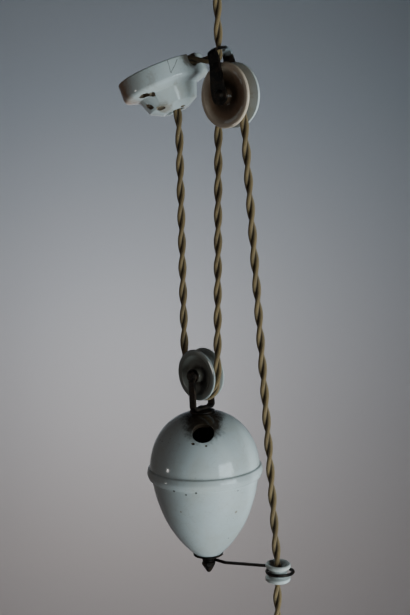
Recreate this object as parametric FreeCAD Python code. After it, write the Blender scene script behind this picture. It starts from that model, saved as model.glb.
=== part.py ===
"""Porcelain counterweight rise and fall pendant, hung from a ceiling hook by its own flex.

Frame: millimetres, +Z up.  The origin is the point where the ceiling hook's screw leaves the ceiling.
The twisted flex and both pulley wheels lie in the XZ plane; the wheels turn about Y.
"""
import FreeCAD
import Part
import math
import os

V = FreeCAD.Vector

# ---------------------------------------------------------------- driving dimensions
SEAT = 0.05               # gap between pieces that are clamped or laid on each other
FREE = 0.3                # gap between pieces that move past each other
RUNNING = 0.06            # radial clearance of a wheel on its axle

# ceiling hook
SCREW_R = 3.0
SCREW_LENGTH = 26.0
SCREW_TIP = 7.0
COLLAR_R = 11.0
COLLAR_THICK = 2.5
HOOK_BAR_R = 3.0
HOOK_STRAIGHT = 8.0       # shank below the collar before its first bend
HOOK_NECK_R = 6.0
HOOK_ROUND_R = 12.0
HOOK_TURN = 45.0          # how far the neck bends away before the round begins
HOOK_END_ANGLE = 25.0     # where the open end stops, above the horizontal

# flex: two cloth-covered strands twisted together
FLEX_D = 7.0
KNOT_R = 10.4
KNOT_HEIGHT = 13.0
KNOT_BOTTOM_RISE = 82.0   # the top knot's underside above the upper axle

# places of the two axles
UPPER_X = 15.0            # to the right of the line on which everything hangs
UPPER_Z = -156.0          # below the ceiling
AXLE_DROP = 234.0         # from the upper axle down to the lower one
LOWER_X = -18.2

# upper wheel
UPPER_WHEEL_R = 26.0
UPPER_WHEEL_WIDTH = 15.0
UPPER_SEAT_R = 13.0       # radius of the flex's own centre line on the wheel
UPPER_HUB_WIDTH = 19.0
UPPER_DISH_R = 22.0
UPPER_DISH_DEPTH = 2.0
# lower wheel
LOWER_WHEEL_R = 22.0
LOWER_WHEEL_WIDTH = 12.5
LOWER_SEAT_R = 19.6
LOWER_HUB_WIDTH = 17.0
LOWER_DISH_R = 15.5
LOWER_DISH_DEPTH = 3.2
# both wheels
LIP_FLARE = 1.1           # how far the groove's mouth opens on each side
HUB_BOSS_R = 6.5
BOSS_SLOPE = 1.0          # the hub boss is narrower at its face by this much
DISH_SLOPE = 1.5          # the dish's side leans by this much
WHEEL_EDGE = 1.0          # bevel of the rim's corners

# axles and washers
AXLE_R = 3.0
AXLE_HEAD_R = 5.0
AXLE_HEAD_TOP_R = 3.0
AXLE_HEAD_THICK = 2.0
WASHER_R = 6.0
WASHER_THICK = 1.2

# forks bent from iron strap
STRAP = 2.0
STRAP_BEND_R = 2.0        # inside radius of the tight bends
STRAP_EASY_R = 5.0        # inside radius of the gentle ones
UPPER_FORK_WIDTH = 9.0    # at the top; the legs widen downwards
UPPER_FORK_RISE = 38.5    # top face above the axle, along the fork
UPPER_FORK_TOP_HALF = 9.5  # half of the fork's outside width at the top
UPPER_FORK_LEAN = 19.5    # degrees, the top leans to the left
UPPER_FORK_HOLE_R = 5.2
UPPER_FORK_EYE_R = 7.5    # the strap widens to a round eye about its hole
UPPER_FORK_FOOT_R = 7.8   # and to a round foot at the axle
LOWER_FORK_WIDTH = 6.5
LOWER_FORK_EYE_R = 5.0    # round eye at the axle

# counterweight, measured down from the lower axle along its own leaning axis
WEIGHT_LEAN = 3.2         # degrees, the bottom leans to the right
DOME_TOP = 31.5
DOME_RISE = 53.0
DOME_R = 47.5
DOME_FULLNESS = 2.15      # 2 is an ellipse; more is squarer
DOME_STEPS = 8            # spans of its smooth outline
BEAD_R = 50.0
BEAD_HEIGHT = 11.0
BEAD_ROOT = 1.0           # how far the bead's edges run into the wall
BELLY = [(46.0, 5.5), (42.1, 24.0), (34.2, 45.0), (22.8, 62.5), (11.3, 74.5)]  # radius, depth below the bead
SHELL_WALL = 5.0
FILLER_R = 9.0
FILLER_AROUND = -45.0     # degrees about the counterweight's axis from +X
FILLER_DOWN = 40.0        # degrees down the dome
FILL_TOP = 85.0           # level of the lead shot below the dome's top
ROD_R = 2.5
CAP_R = 10.8
CAP_THICK = 1.0
CUP_R = 13.0
CUP_THICK = 1.3
CUP_FLARE = 0.7           # how far the cup's edge turns up
CUP_BOSS_R = 5.6
CUP_BOSS = 3.2            # height of the boss under the cup
FINIAL_R = 6.0
FINIAL_NECK = 2.0
FINIAL_HEIGHT = 9.5
FINIAL_TIP_R = 1.2
FINIAL_POINT = 1.0        # height and width of the bevel at the tip
ROD_HEAD_R = 4.0
ROD_HEAD_THICK = 0.8

# guide arm and guide spool
WIRE_R = 1.35
SPOOL_X = 71.5
SPOOL_DROP = 385.5        # spool's middle below the upper axle
SPOOL_R = 10.4
SPOOL_WAIST_R = 7.4
SPOOL_WAIST_HALF = 2.4
SPOOL_HEIGHT = 15.0
SPOOL_BORE_R = 4.6
SPOOL_DISH_R = 8.2
SPOOL_DISH = 3.0
SPOOL_EDGE = 1.4          # bevel of its flanges
GUIDE_REACH = 11.0        # the flex comes to the guide this far above the spool's middle
ARM_BEND_R = 15.0
LOOP_OPEN = 3.4           # how far the loop's open end stands off the spool's waist
# the loop round the spool: angle from +X, and the share of that distance there
LOOP_FORM = [(180, 0), (225, 0), (270, 0), (315, 0), (350, 0.24), (380, 0.7), (405, 1), (430, 0.76)]

# ceiling rose, measured from its back face along its own axis
VIEW_TURN = 45.0          # the front of the view, degrees from -Y towards +X
ROSE_TILT_RIGHT = 21.3    # degrees, the hub swings towards the right of the view
ROSE_TILT_FRONT = 9.0     # degrees, the hub swings towards the front of the view
ROSE_R = 37.2
ROSE_RIM = 13.2
ROSE_SHOULDER = 3.8
ROSE_HUB_R = 25.5         # at its root
ROSE_HUB_TAPER = 4.7      # the hub narrows by this much
ROSE_CROWN_RISE = 2.5     # slope of the crown from the shoulder to the hub
ROSE_BEVEL = 4.9          # height of the bevel at the hub's end
ROSE_HEIGHT = 36.4
ROSE_FACE_R = 11.5
ROSE_HOLE_R = 7.8
ROSE_WALL = 4.0
ROSE_BASE_THICK = 4.0
ROSE_NOTCH = 4.6          # half of the rim notch's width
ROSE_NOTCH_DEEP = 9.0     # how far the notch reaches in past the flex's end
ROSE_NOTCH_LONG = 28.0
ROSE_EXIT_X = -44.2       # where the flex leaves the rose
ROSE_EXIT_DROP = 14.5     # below the upper axle
ROSE_LEAN_X = 1.3         # the flex lies to this side of the hole
ROSE_LEAN_Y = -1.9
FALL_BEND_R = 10.5        # bend of the flex below the rose's knot
ROSE_KNOT_R = 8.6
ROSE_KNOT_HEIGHT = 9.0
ROSE_KNOT_LIFT = 0.4      # the hub's sloping floor holds the knot this far up
BASE_SCREW_PCD = 44.0
BASE_SCREW_R = 2.2
TERMINAL_WIDE = 7.0
TERMINAL_HIGH = 9.0
TERMINAL_APART = 18.0
TERMINAL_SCREW_R = 1.7
TERMINAL_SCREW_LONG = 4.0
TERMINAL_HEAD_R = 2.5
TERMINAL_HEAD = 1.7
LEAD_R = 1.3
LEAD_APPROACH = 9.8       # straight run of a lead into its terminal
FEED_RISE = 28.0          # the supply flex's level above the upper axle, on its way to the rose
FEED_END_X = -36.0        # where its two strands part inside the rose
FEED_END_Y = -8.0
FEED_CORNER_X = 2.3
FEED_BEND_R = 6.0
ENTRY_R = 9.0             # the cable's way through the base
ENTRY_X = 21.0
ENTRY_Y = -1.0

# lamp end
HOLDER_DROP = 443.0       # top of the cord grip below the upper axle
GUIDE_BEND_R = 60.0
GRIP_R = 7.5
GRIP_TOP_R = 5.5
GRIP_SHOULDER = 3.0       # height of the grip's slope
GRIP_HEIGHT = 12.0
GRIP_STEM_R = 5.6
GRIP_STEM = 4.0           # how far the stem goes down into the cap
HOLDER_R = 19.6
HOLDER_WALL = 1.0
CAP_HEIGHT = 20.0
CAP_TOP_R = 8.5           # the cap's flat top, then its slope, its curve and its side
CAP_SLOPE_R = 14.2
CAP_SLOPE = 3.0
CAP_CURVE = 2.0
CAP_CURVE_DROP = 8.0
CAP_SIDE_DROP = 12.0
BODY_HEIGHT = 32.0
SOCKET_R = 13.3
SOCKET_WALL = 0.7
SOCKET_DEPTH = 24.0
INSERT_THICK = 9.0
INSERT_BORE_R = 4.5
RING_R = 27.0
RING_THICK = 2.5
SHADE_GAP = 4.0
CONTACT_WIDE = 5.0
CONTACT_THICK = 0.8
CONTACT_DEEP = 5.0
CONTACT_LONG = 11.3
CONTACT_ROOM_R = 10.0     # recess in the insert's underside

# ---------------------------------------------------------------- places worked out from them
FLEX_R = FLEX_D / 2
GROOVE_R = FLEX_R + FREE
ROSE_HUB_END = ROSE_HEIGHT - ROSE_BEVEL
ROSE_EXIT = V(ROSE_EXIT_X, 0, UPPER_Z - ROSE_EXIT_DROP)
FEED_CORNER = V(FEED_CORNER_X, 0, UPPER_Z + FEED_RISE)
FEED_END = V(FEED_END_X, FEED_END_Y, UPPER_Z + FEED_RISE)
FEED_WAY = (FEED_END - FEED_CORNER).normalize()
FEED_SIDE = V(FEED_WAY.y, -FEED_WAY.x, 0)
LOWER_Z = UPPER_Z - AXLE_DROP
UPPER = V(UPPER_X, 0, UPPER_Z)
LOWER = V(LOWER_X, 0, LOWER_Z)
KNOT_BOTTOM = UPPER_Z + KNOT_BOTTOM_RISE
BEAD_DOWN = DOME_TOP + DOME_RISE
BOTTOM_DOWN = BEAD_DOWN + BELLY[-1][1]
CUP_DOWN = BOTTOM_DOWN + SEAT + CUP_THICK
EYE_DOWN = CUP_DOWN + CUP_BOSS + SEAT + WIRE_R
FINIAL_DOWN = EYE_DOWN + WIRE_R + SEAT
SPOOL = V(SPOOL_X, 0, UPPER_Z - SPOOL_DROP)
HOLDER_TOP = UPPER_Z - HOLDER_DROP
ACROSS = V(0, 1, 0)
CENTRE = V(0, 0, 0)

made = {}


# ---------------------------------------------------------------- small makers
def stand(shape, place=CENTRE, axis=V(0, 0, 1)):
    """Stand a shape made on +Z at a place, along another axis."""
    moved = shape.copy()
    turn = FreeCAD.Rotation(V(0, 0, 1), axis)
    moved.Placement = FreeCAD.Placement(place, turn).multiply(moved.Placement)
    return moved


def lean_and_place(shape, degrees, place):
    """Lean a shape about Y and move it."""
    moved = shape.copy()
    moved.rotate(CENTRE, ACROSS, degrees)
    moved.translate(place)
    return moved


def ring(outer, inner, height, base=0.0):
    """A flat ring on +Z."""
    foot = V(0, 0, base)
    return Part.makeCylinder(outer, height, foot).cut(Part.makeCylinder(inner, height, foot))


def turned(edges):
    """A solid of revolution about Z from a closed outline in the XZ plane."""
    face = Part.Face(Part.Wire(edges))
    return Part.Solid(face.revolve(CENTRE, V(0, 0, 1), 360).Shells[0])


def line(start, end):
    return Part.LineSegment(start, end).toShape()


def arc(start, middle, end):
    return Part.Arc(start, middle, end).toShape()


def chain(points):
    """Straight edges from point to point."""
    return [line(a, b) for a, b in zip(points, points[1:])]


def spun(points):
    """A solid of revolution from straight edges through (radius, height) points."""
    corners = [V(radius, 0, height) for radius, height in points]
    return turned(chain(corners + corners[:1]))


def corner_route(points, radii):
    """Straight runs joined by tangent arcs: one radius for each inner point."""
    edges = []
    last = points[0]
    for before, corner, after, radius in zip(points, points[1:], points[2:], radii):
        back = (before - corner).normalize()
        ahead = (after - corner).normalize()
        turn = math.pi - back.getAngle(ahead)
        reach = radius * math.tan(turn / 2)
        start = corner + back * reach
        end = corner + ahead * reach
        inward = (back + ahead).normalize()
        edges.append(line(last, start))
        edges.append(arc(start, corner + inward * (radius / math.cos(turn / 2) - radius), end))
        last = end
    edges.append(line(last, points[-1]))
    return Part.Wire(edges)


def tube(path, radius):
    """A round tube along a wire, square to it at both ends."""
    first = path.OrderedEdges[0]
    start = first.valueAt(first.FirstParameter)
    way = first.tangentAt(first.FirstParameter)
    section = Part.Wire(Part.Circle(start, way, radius).toShape())
    return path.makePipeShell([section], True, False)


def flex(name, path):
    """A stretch of the twisted flex as a plain tube, with its length and volume printed."""
    solid = tube(path, FLEX_R)
    wanted = math.pi * FLEX_R ** 2 * path.Length
    bends = sorted({round(edge.Curve.Radius, 1) for edge in path.Edges if hasattr(edge.Curve, "Radius")})
    print(f"{name}: length {path.Length:.1f} mm, volume ratio {solid.Volume / wanted:.4f}, radii {bends}")
    made[name] = solid


def swept_strap(path, width):
    """An iron strap of the given width swept along a wire in the YZ plane."""
    first = path.OrderedEdges[0]
    start = first.valueAt(first.FirstParameter)
    way = first.tangentAt(first.FirstParameter)
    thick = way.cross(V(1, 0, 0)).normalize() * (STRAP / 2)
    wide = V(width / 2, 0, 0)
    corners = [start - thick - wide, start + thick - wide, start + thick + wide, start - thick + wide]
    return path.makePipeShell([Part.makePolygon(corners + corners[:1])], True, False)


def across_hole(radius):
    """A round bar along Y through both legs of a fork."""
    reach = UPPER_HUB_WIDTH + LOWER_HUB_WIDTH
    return Part.makeCylinder(radius, 2 * reach, V(0, -reach, 0), ACROSS)


def leg_outline(half_width, rise, foot_r):
    """A bar along Y with the outline of a leg: straight sides that run into a round foot."""
    reach = UPPER_HUB_WIDTH + LOWER_HUB_WIDTH
    turn = math.atan2(rise, half_width) - math.acos(foot_r / math.hypot(half_width, rise))
    side = V(foot_r * math.cos(turn), -reach, foot_r * math.sin(turn))
    corners = [side, V(half_width, -reach, rise), V(-half_width, -reach, rise), V(-side.x, -reach, side.z)]
    face = Part.Face(Part.makePolygon(corners + corners[:1]))
    return face.extrude(ACROSS * (2 * reach)).fuse(across_hole(foot_r))


def on_weight(shape):
    """Move a shape from the counterweight's own frame, whose origin is the lower axle, to its place."""
    return lean_and_place(shape, -WEIGHT_LEAN, LOWER)


def weight_point(right, down):
    """A point of the counterweight's own frame, in the plane of the flex."""
    lean = math.radians(WEIGHT_LEAN)
    ahead = V(math.cos(lean), 0, math.sin(lean)) * right
    return LOWER + ahead + V(math.sin(lean), 0, -math.cos(lean)) * down


# ---------------------------------------------------------------- ceiling hook and the flex's knot on it
def hook_round():
    """Centre of the hook's round, straight below the screw."""
    turn = math.radians(HOOK_TURN)
    side = HOOK_ROUND_R * math.sin(turn)
    slant = (side - HOOK_NECK_R * (1 - math.cos(turn))) / math.sin(turn)
    depth = COLLAR_THICK + HOOK_STRAIGHT + HOOK_NECK_R * math.sin(turn) + slant * math.cos(turn)
    return V(0, 0, -depth - HOOK_ROUND_R * math.cos(turn))


def ceiling_hook():
    centre = hook_round()
    turn = math.radians(HOOK_TURN)
    end = math.radians(HOOK_END_ANGLE)
    neck_top = V(0, 0, -COLLAR_THICK - HOOK_STRAIGHT)
    neck_centre = neck_top - V(HOOK_NECK_R, 0, 0)
    neck_middle = neck_centre + V(math.cos(turn / 2), 0, -math.sin(turn / 2)) * HOOK_NECK_R
    neck_end = neck_centre + V(math.cos(turn), 0, -math.sin(turn)) * HOOK_NECK_R
    round_start = centre + V(-math.sin(turn), 0, math.cos(turn)) * HOOK_ROUND_R
    round_end = centre + V(math.cos(end), 0, math.sin(end)) * HOOK_ROUND_R
    path = Part.Wire([
        line(V(0, 0, -COLLAR_THICK / 2), neck_top),
        arc(neck_top, neck_middle, neck_end),
        line(neck_end, round_start),
        arc(round_start, centre - V(0, 0, HOOK_ROUND_R), round_end),
    ])
    hook = tube(path, HOOK_BAR_R)
    hook = hook.fuse(Part.makeSphere(HOOK_BAR_R, round_end))
    hook = hook.fuse(Part.makeCylinder(COLLAR_R, COLLAR_THICK, V(0, 0, -COLLAR_THICK)))
    hook = hook.fuse(Part.makeCylinder(SCREW_R, SCREW_LENGTH))
    made["ceiling_hook"] = hook.fuse(Part.makeCone(SCREW_R, 0, SCREW_TIP, V(0, 0, SCREW_LENGTH)))


def top_knot():
    """The flex's loop over the hook, and the knot that closes it."""
    bottom = hook_round() - V(0, 0, HOOK_ROUND_R)
    loop_r = HOOK_BAR_R + FREE + FLEX_R
    side = V(0, loop_r, 0)
    down = V(0, 0, KNOT_BOTTOM + KNOT_HEIGHT - bottom.z)
    flex("flex_loop", Part.Wire([
        line(bottom - side + down, bottom - side),
        arc(bottom - side, bottom + V(0, 0, loop_r), bottom + side),
        line(bottom + side, bottom + side + down),
    ]))
    bulge = KNOT_HEIGHT / 4
    knot = Part.makeCylinder(KNOT_R, KNOT_HEIGHT - 2 * bulge, V(0, 0, KNOT_BOTTOM + bulge))
    knot = knot.fuse(Part.makeCylinder(KNOT_R - bulge, KNOT_HEIGHT, V(0, 0, KNOT_BOTTOM)))
    for level in (1, 3):
        knot = knot.fuse(Part.makeTorus(KNOT_R - bulge, bulge, V(0, 0, KNOT_BOTTOM + level * bulge)))
    made["flex_knot"] = knot


# ---------------------------------------------------------------- pulley wheels, axles, washers
def wheel(radius, width, seat_r, hub_width, dish_r, dish_depth):
    """A porcelain wheel on Z: round-bottomed groove, dished faces, raised hub."""
    half = width / 2
    floor = -half + dish_depth
    side = [
        V(AXLE_R + RUNNING, 0, -hub_width / 2),
        V(HUB_BOSS_R - BOSS_SLOPE, 0, -hub_width / 2),
        V(HUB_BOSS_R, 0, floor),
        V(dish_r - DISH_SLOPE, 0, floor),
        V(dish_r, 0, -half),
        V(radius - WHEEL_EDGE, 0, -half),
        V(radius, 0, -half + WHEEL_EDGE),
        V(radius, 0, -GROOVE_R - LIP_FLARE),
        V(seat_r, 0, -GROOVE_R),
    ]
    other = [V(corner.x, 0, -corner.z) for corner in reversed(side)]
    bottom = arc(side[-1], V(seat_r - GROOVE_R, 0, 0), other[0])
    return turned(chain(side) + [bottom] + chain(other) + [line(other[-1], side[0])])


def fork_half(hub_width):
    """Half of the space between the fork's legs at the axle."""
    return hub_width / 2 + WASHER_THICK + FREE


def axle(half_length):
    """A riveted pin on Z with a low head at each end."""
    pin = Part.makeCylinder(AXLE_R, 2 * half_length, V(0, 0, -half_length))
    for way in (-1, 1):
        head = Part.makeCone(AXLE_HEAD_R, AXLE_HEAD_TOP_R, AXLE_HEAD_THICK,
                             V(0, 0, way * half_length), V(0, 0, way))
        pin = pin.fuse(head)
    return pin


def wheel_set(prefix, place, solid, hub_width):
    """A wheel with its axle and two washers, turned so that the axle lies along Y."""
    half = fork_half(hub_width)
    made[prefix + "_wheel"] = stand(solid, place, ACROSS)
    made[prefix + "_axle"] = stand(axle(half + STRAP + SEAT), place, ACROSS)
    gap = (half - hub_width / 2 - WASHER_THICK) / 2
    washer = ring(WASHER_R, AXLE_R + SEAT, WASHER_THICK)
    pair = [stand(washer, place + ACROSS * (way * (hub_width / 2 + gap)), ACROSS * way) for way in (-1, 1)]
    made[prefix + "_washers"] = Part.makeCompound(pair)


# ---------------------------------------------------------------- iron forks
def upper_fork():
    """The stirrup over the upper wheel; the flex comes down through the hole in its top."""
    low = fork_half(UPPER_HUB_WIDTH) + STRAP / 2
    high = UPPER_FORK_TOP_HALF - STRAP / 2
    foot = UPPER_FORK_FOOT_R
    top = UPPER_FORK_RISE - STRAP / 2
    shoulder = UPPER_WHEEL_R + FREE
    left = [V(0, -low, -foot), V(0, -low, foot), V(0, -high, shoulder), V(0, -high, top)]
    right = [V(0, -point.y, point.z) for point in reversed(left)]
    easy = STRAP_EASY_R + STRAP / 2
    tight = STRAP_BEND_R + STRAP / 2
    fork = swept_strap(corner_route(left + right, [easy, easy, tight, tight, easy, easy]), 2 * foot)
    fork = fork.common(leg_outline(UPPER_FORK_WIDTH / 2, UPPER_FORK_RISE, foot))
    fork = fork.fuse(Part.makeCylinder(UPPER_FORK_EYE_R, STRAP, V(0, 0, top - STRAP / 2)))
    fork = fork.cut(across_hole(AXLE_R + SEAT))
    fork = fork.cut(Part.makeCylinder(UPPER_FORK_HOLE_R, 2 * STRAP, V(0, 0, top - STRAP)))
    made["upper_fork"] = lean_and_place(fork, -UPPER_FORK_LEAN, UPPER)


def lower_fork():
    """The stirrup that carries the counterweight; its flat bottom sits on the dome's iron cap."""
    low = fork_half(LOWER_HUB_WIDTH) + STRAP / 2
    floor = -(DOME_TOP - CAP_THICK - SEAT - STRAP / 2)
    points = [V(0, -low, 0), V(0, -low, floor), V(0, low, floor), V(0, low, 0)]
    tight = STRAP_BEND_R + STRAP / 2
    fork = swept_strap(corner_route(points, [tight, tight]), LOWER_FORK_WIDTH)
    for way in (-1, 1):
        side = V(0, way * low - STRAP / 2, 0)
        fork = fork.fuse(Part.makeCylinder(LOWER_FORK_EYE_R, STRAP, side, ACROSS))
    fork = fork.cut(across_hole(AXLE_R + SEAT))
    fork = fork.cut(Part.makeCylinder(ROD_R + SEAT, 2 * STRAP, V(0, 0, floor - STRAP)))
    made["lower_fork"] = on_weight(fork)


# ---------------------------------------------------------------- counterweight
def dome_point(degrees, inward=0.0):
    """A point of the dome's outline: radius and height in the counterweight's frame."""
    turn = math.radians(degrees)
    power = 2 / DOME_FULLNESS
    height = (DOME_RISE - inward) * math.cos(turn) ** power
    return V((DOME_R - inward) * math.sin(turn) ** power, 0, -BEAD_DOWN + height)


def belly_points(inward):
    """The belly's outline points, moved in along its normals by the wall."""
    outer = [V(radius, 0, -BEAD_DOWN - depth) for radius, depth in BELLY]
    if not inward:
        return outer
    moved = []
    for index, point in enumerate(outer):
        before = outer[max(index - 1, 0)]
        after = outer[min(index + 1, len(outer) - 1)]
        way = (after - before).normalize()
        moved.append(point + V(way.z, 0, -way.x) * inward)
    moved[-1] = V(moved[-1].x, 0, -BOTTOM_DOWN + inward)
    return moved


def smooth(points):
    """One smooth edge through the points."""
    curve = Part.BSplineCurve()
    curve.interpolate(points)
    return curve.toShape()


def dome_edge(inward):
    """The dome's outline, from its top down to the bead's level."""
    steps = range(DOME_STEPS + 1)
    return smooth([dome_point(90 * step / DOME_STEPS, inward) for step in steps])


def egg_solid(inward):
    """The egg without its bead, as a full solid, shrunk by a wall."""
    top = dome_point(0, inward)
    belly = belly_points(inward)
    waist = dome_point(90, inward)
    foot = V(0, 0, belly[-1].z)
    return turned([dome_edge(inward), line(waist, belly[0]), smooth(belly), line(belly[-1], foot),
                   line(foot, top)])


def filler_way():
    """Where the filler hole leaves the dome, and its direction, in the counterweight's frame."""
    around = math.radians(FILLER_AROUND)
    out = V(math.cos(around), math.sin(around), 0)
    mouth = dome_point(FILLER_DOWN)
    down = math.radians(FILLER_DOWN)
    power = 2 - 2 / DOME_FULLNESS
    normal = V(math.sin(down) ** power / DOME_R, 0, math.cos(down) ** power / DOME_RISE).normalize()
    return out * mouth.x + V(0, 0, mouth.z), out * normal.x + V(0, 0, normal.z)


def counterweight():
    bead_top = V(DOME_R - BEAD_ROOT, 0, -BEAD_DOWN + BEAD_HEIGHT / 2)
    bead_bottom = V(BELLY[0][0] - BEAD_ROOT, 0, -BEAD_DOWN - BEAD_HEIGHT / 2)
    bead = turned([
        line(V(0, 0, bead_bottom.z), bead_bottom),
        arc(bead_bottom, V(BEAD_R, 0, -BEAD_DOWN), bead_top),
        line(bead_top, V(0, 0, bead_top.z)),
        line(V(0, 0, bead_top.z), V(0, 0, bead_bottom.z)),
    ])
    hollow = egg_solid(SHELL_WALL)
    rod_hole = Part.makeCylinder(ROD_R + FREE, 2 * BOTTOM_DOWN, V(0, 0, -2 * BOTTOM_DOWN))
    mouth, out = filler_way()
    filler = Part.makeCylinder(FILLER_R, 4 * SHELL_WALL, mouth - out * (2 * SHELL_WALL), out)
    shell = egg_solid(0).fuse(bead).cut(hollow).cut(rod_hole).cut(filler)
    made["counterweight_shell"] = on_weight(shell)

    above = V(-2 * BEAD_R, -2 * BEAD_R, -DOME_TOP - FILL_TOP)
    shot = egg_solid(SHELL_WALL + SEAT).cut(Part.makeBox(4 * BEAD_R, 4 * BEAD_R, BOTTOM_DOWN, above))
    made["lead_shot"] = on_weight(shot.cut(rod_clearance()))


def rod_clearance():
    """A cutter for the tie rod's way through the pieces clamped on it."""
    return Part.makeCylinder(ROD_R + SEAT, 2 * BOTTOM_DOWN, V(0, 0, -2 * BOTTOM_DOWN))


def tie_rod_and_ends():
    """The rod through the counterweight with its cap, cup and pointed nut."""
    head = -(DOME_TOP - CAP_THICK - SEAT - STRAP) + SEAT
    end = -(FINIAL_DOWN + FINIAL_HEIGHT / 2)
    tie = Part.makeCylinder(ROD_R, head - end, V(0, 0, end))
    made["tie_rod"] = on_weight(tie.fuse(Part.makeCone(ROD_HEAD_R, ROD_R, ROD_HEAD_THICK, V(0, 0, head))))

    edge = dome_point(math.degrees(math.asin((CAP_R / DOME_R) ** (DOME_FULLNESS / 2)))).z
    top = -DOME_TOP + CAP_THICK
    plate = spun([(0, top), (LOWER_FORK_WIDTH, top), (CAP_R, edge + CAP_THICK), (CAP_R, edge - CAP_THICK),
                  (0, edge - CAP_THICK)])
    made["dome_cap"] = on_weight(plate.cut(egg_solid(-SEAT)).cut(rod_clearance()))

    foot_r = BELLY[-1][0]
    foot = -BOTTOM_DOWN - SEAT
    lip = foot + CUP_FLARE
    under = foot - CUP_THICK
    cup = spun([(ROD_R + SEAT, foot), (foot_r, foot), (CUP_R, lip), (CUP_R, lip - CUP_THICK), (foot_r, under),
                (CUP_BOSS_R, under), (CUP_BOSS_R, under - CUP_BOSS), (ROD_R + SEAT, under - CUP_BOSS)])
    made["bottom_cup"] = on_weight(cup)

    top_level = -FINIAL_DOWN
    shoulder = top_level - FINIAL_NECK
    tip = top_level - FINIAL_HEIGHT
    turns = [math.tau * side / 6 for side in range(6)]
    hexagon = [V(FINIAL_R * math.cos(turn), FINIAL_R * math.sin(turn), top_level) for turn in turns]
    base = Part.Face(Part.makePolygon(hexagon + hexagon[:1])).extrude(V(0, 0, -FINIAL_HEIGHT))
    form = spun([(0, top_level), (FINIAL_R, top_level), (FINIAL_R, shoulder),
                 (FINIAL_TIP_R + FINIAL_POINT, tip + FINIAL_POINT), (FINIAL_TIP_R, tip), (0, tip)])
    rod_end = V(0, 0, end - SEAT)
    hole = Part.makeCylinder(ROD_R + SEAT, top_level - rod_end.z, rod_end)
    made["finial_nut"] = on_weight(base.common(form).cut(hole))


# ---------------------------------------------------------------- guide arm and spool
def guide_arm():
    """Iron wire: an eye round the tie rod, a straight arm, and an open loop round the spool."""
    eye_r = ROD_R + SEAT + WIRE_R
    loop_r = SPOOL_WAIST_R + FREE + WIRE_R
    aside = ACROSS * eye_r
    start = weight_point(0, EYE_DOWN) + aside
    rise = weight_point(CUP_R + 2 * WIRE_R, EYE_DOWN) + aside
    bend_centre = SPOOL - V(loop_r + eye_r, 0, 0)
    end = bend_centre + aside
    turn = math.radians(45)
    bend = arc(end, bend_centre + V(math.sin(turn), math.cos(turn), 0) * eye_r, SPOOL - V(loop_r, 0, 0))
    places = []
    for angle, share in LOOP_FORM:
        way = V(math.cos(math.radians(angle)), math.sin(math.radians(angle)), 0)
        places.append(SPOOL + way * (loop_r + share * LOOP_OPEN))
    loop = smooth(places)
    arm = on_weight(Part.makeTorus(eye_r, WIRE_R, V(0, 0, -EYE_DOWN)))
    arm = arm.fuse(tube(corner_route([start, rise, end], [ARM_BEND_R]), WIRE_R))
    for piece in (bend, loop):
        arm = arm.fuse(tube(Part.Wire(piece), WIRE_R))
        arm = arm.fuse(Part.makeSphere(WIRE_R, piece.valueAt(piece.FirstParameter)))
    made["guide_arm"] = arm.fuse(Part.makeSphere(WIRE_R, loop.valueAt(loop.LastParameter)))


def guide_spool():
    half = SPOOL_HEIGHT / 2
    edge = SPOOL_EDGE
    mouth = SPOOL_BORE_R + edge
    waist = SPOOL_WAIST_HALF
    side = [(SPOOL_BORE_R, 0), (SPOOL_BORE_R, half - SPOOL_DISH - edge), (mouth, half - SPOOL_DISH),
            (SPOOL_DISH_R, half), (SPOOL_R - edge, half), (SPOOL_R, half - edge), (SPOOL_R, half - 2 * edge),
            (SPOOL_WAIST_R, waist)]
    other = [(radius, -level) for radius, level in reversed(side[1:])]
    made["guide_spool"] = stand(spun(side[1:] + other), SPOOL)


# ---------------------------------------------------------------- ceiling rose
def rose_directions():
    """The rose's axis, from its back towards its hub, and the two directions across it."""
    turn = math.radians(VIEW_TURN)
    right = V(math.cos(turn), math.sin(turn), 0)
    front = V(math.sin(turn), -math.cos(turn), 0)
    aside = math.tan(math.radians(ROSE_TILT_RIGHT))
    forward = math.tan(math.radians(ROSE_TILT_FRONT))
    axis = (right * aside + front * forward - V(0, 0, 1)).normalize()
    first = (V(1, 0, 0) - axis * axis.x).normalize()
    return axis, first, axis.cross(first)


ROSE_AXIS, ROSE_FIRST, ROSE_SECOND = rose_directions()
ROSE_BACK = (ROSE_EXIT - ROSE_AXIS * (ROSE_HEIGHT + FLEX_R / 2)
             - ROSE_FIRST * ROSE_LEAN_X - ROSE_SECOND * ROSE_LEAN_Y)


def rose_point(first, second, down):
    """A point of the rose's own frame."""
    return ROSE_BACK + ROSE_FIRST * first + ROSE_SECOND * second + ROSE_AXIS * down


def on_rose(shape):
    """Move a shape from the rose's own frame, back face at 0 and hub towards +Z, to its place."""
    matrix = FreeCAD.Matrix(ROSE_FIRST.x, ROSE_SECOND.x, ROSE_AXIS.x, ROSE_BACK.x,
                            ROSE_FIRST.y, ROSE_SECOND.y, ROSE_AXIS.y, ROSE_BACK.y,
                            ROSE_FIRST.z, ROSE_SECOND.z, ROSE_AXIS.z, ROSE_BACK.z,
                            0, 0, 0, 1)
    moved = shape.copy()
    moved.Placement = FreeCAD.Placement(matrix).multiply(moved.Placement)
    return moved


def notch_cutter():
    """Clears the way of the supply flex through the rim, open towards the back."""
    slot = Part.makeBox(ROSE_NOTCH_LONG, 2 * ROSE_NOTCH, ROSE_R, V(0, -ROSE_NOTCH, 0))
    slot = slot.fuse(Part.makeCylinder(ROSE_NOTCH, ROSE_NOTCH_LONG, CENTRE, V(1, 0, 0)))
    slot.rotate(CENTRE, V(0, 0, 1), math.degrees(math.atan2(-FEED_WAY.y, -FEED_WAY.x)))
    slot.translate(FEED_END + FEED_WAY * ROSE_NOTCH_DEEP)
    return slot


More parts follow.
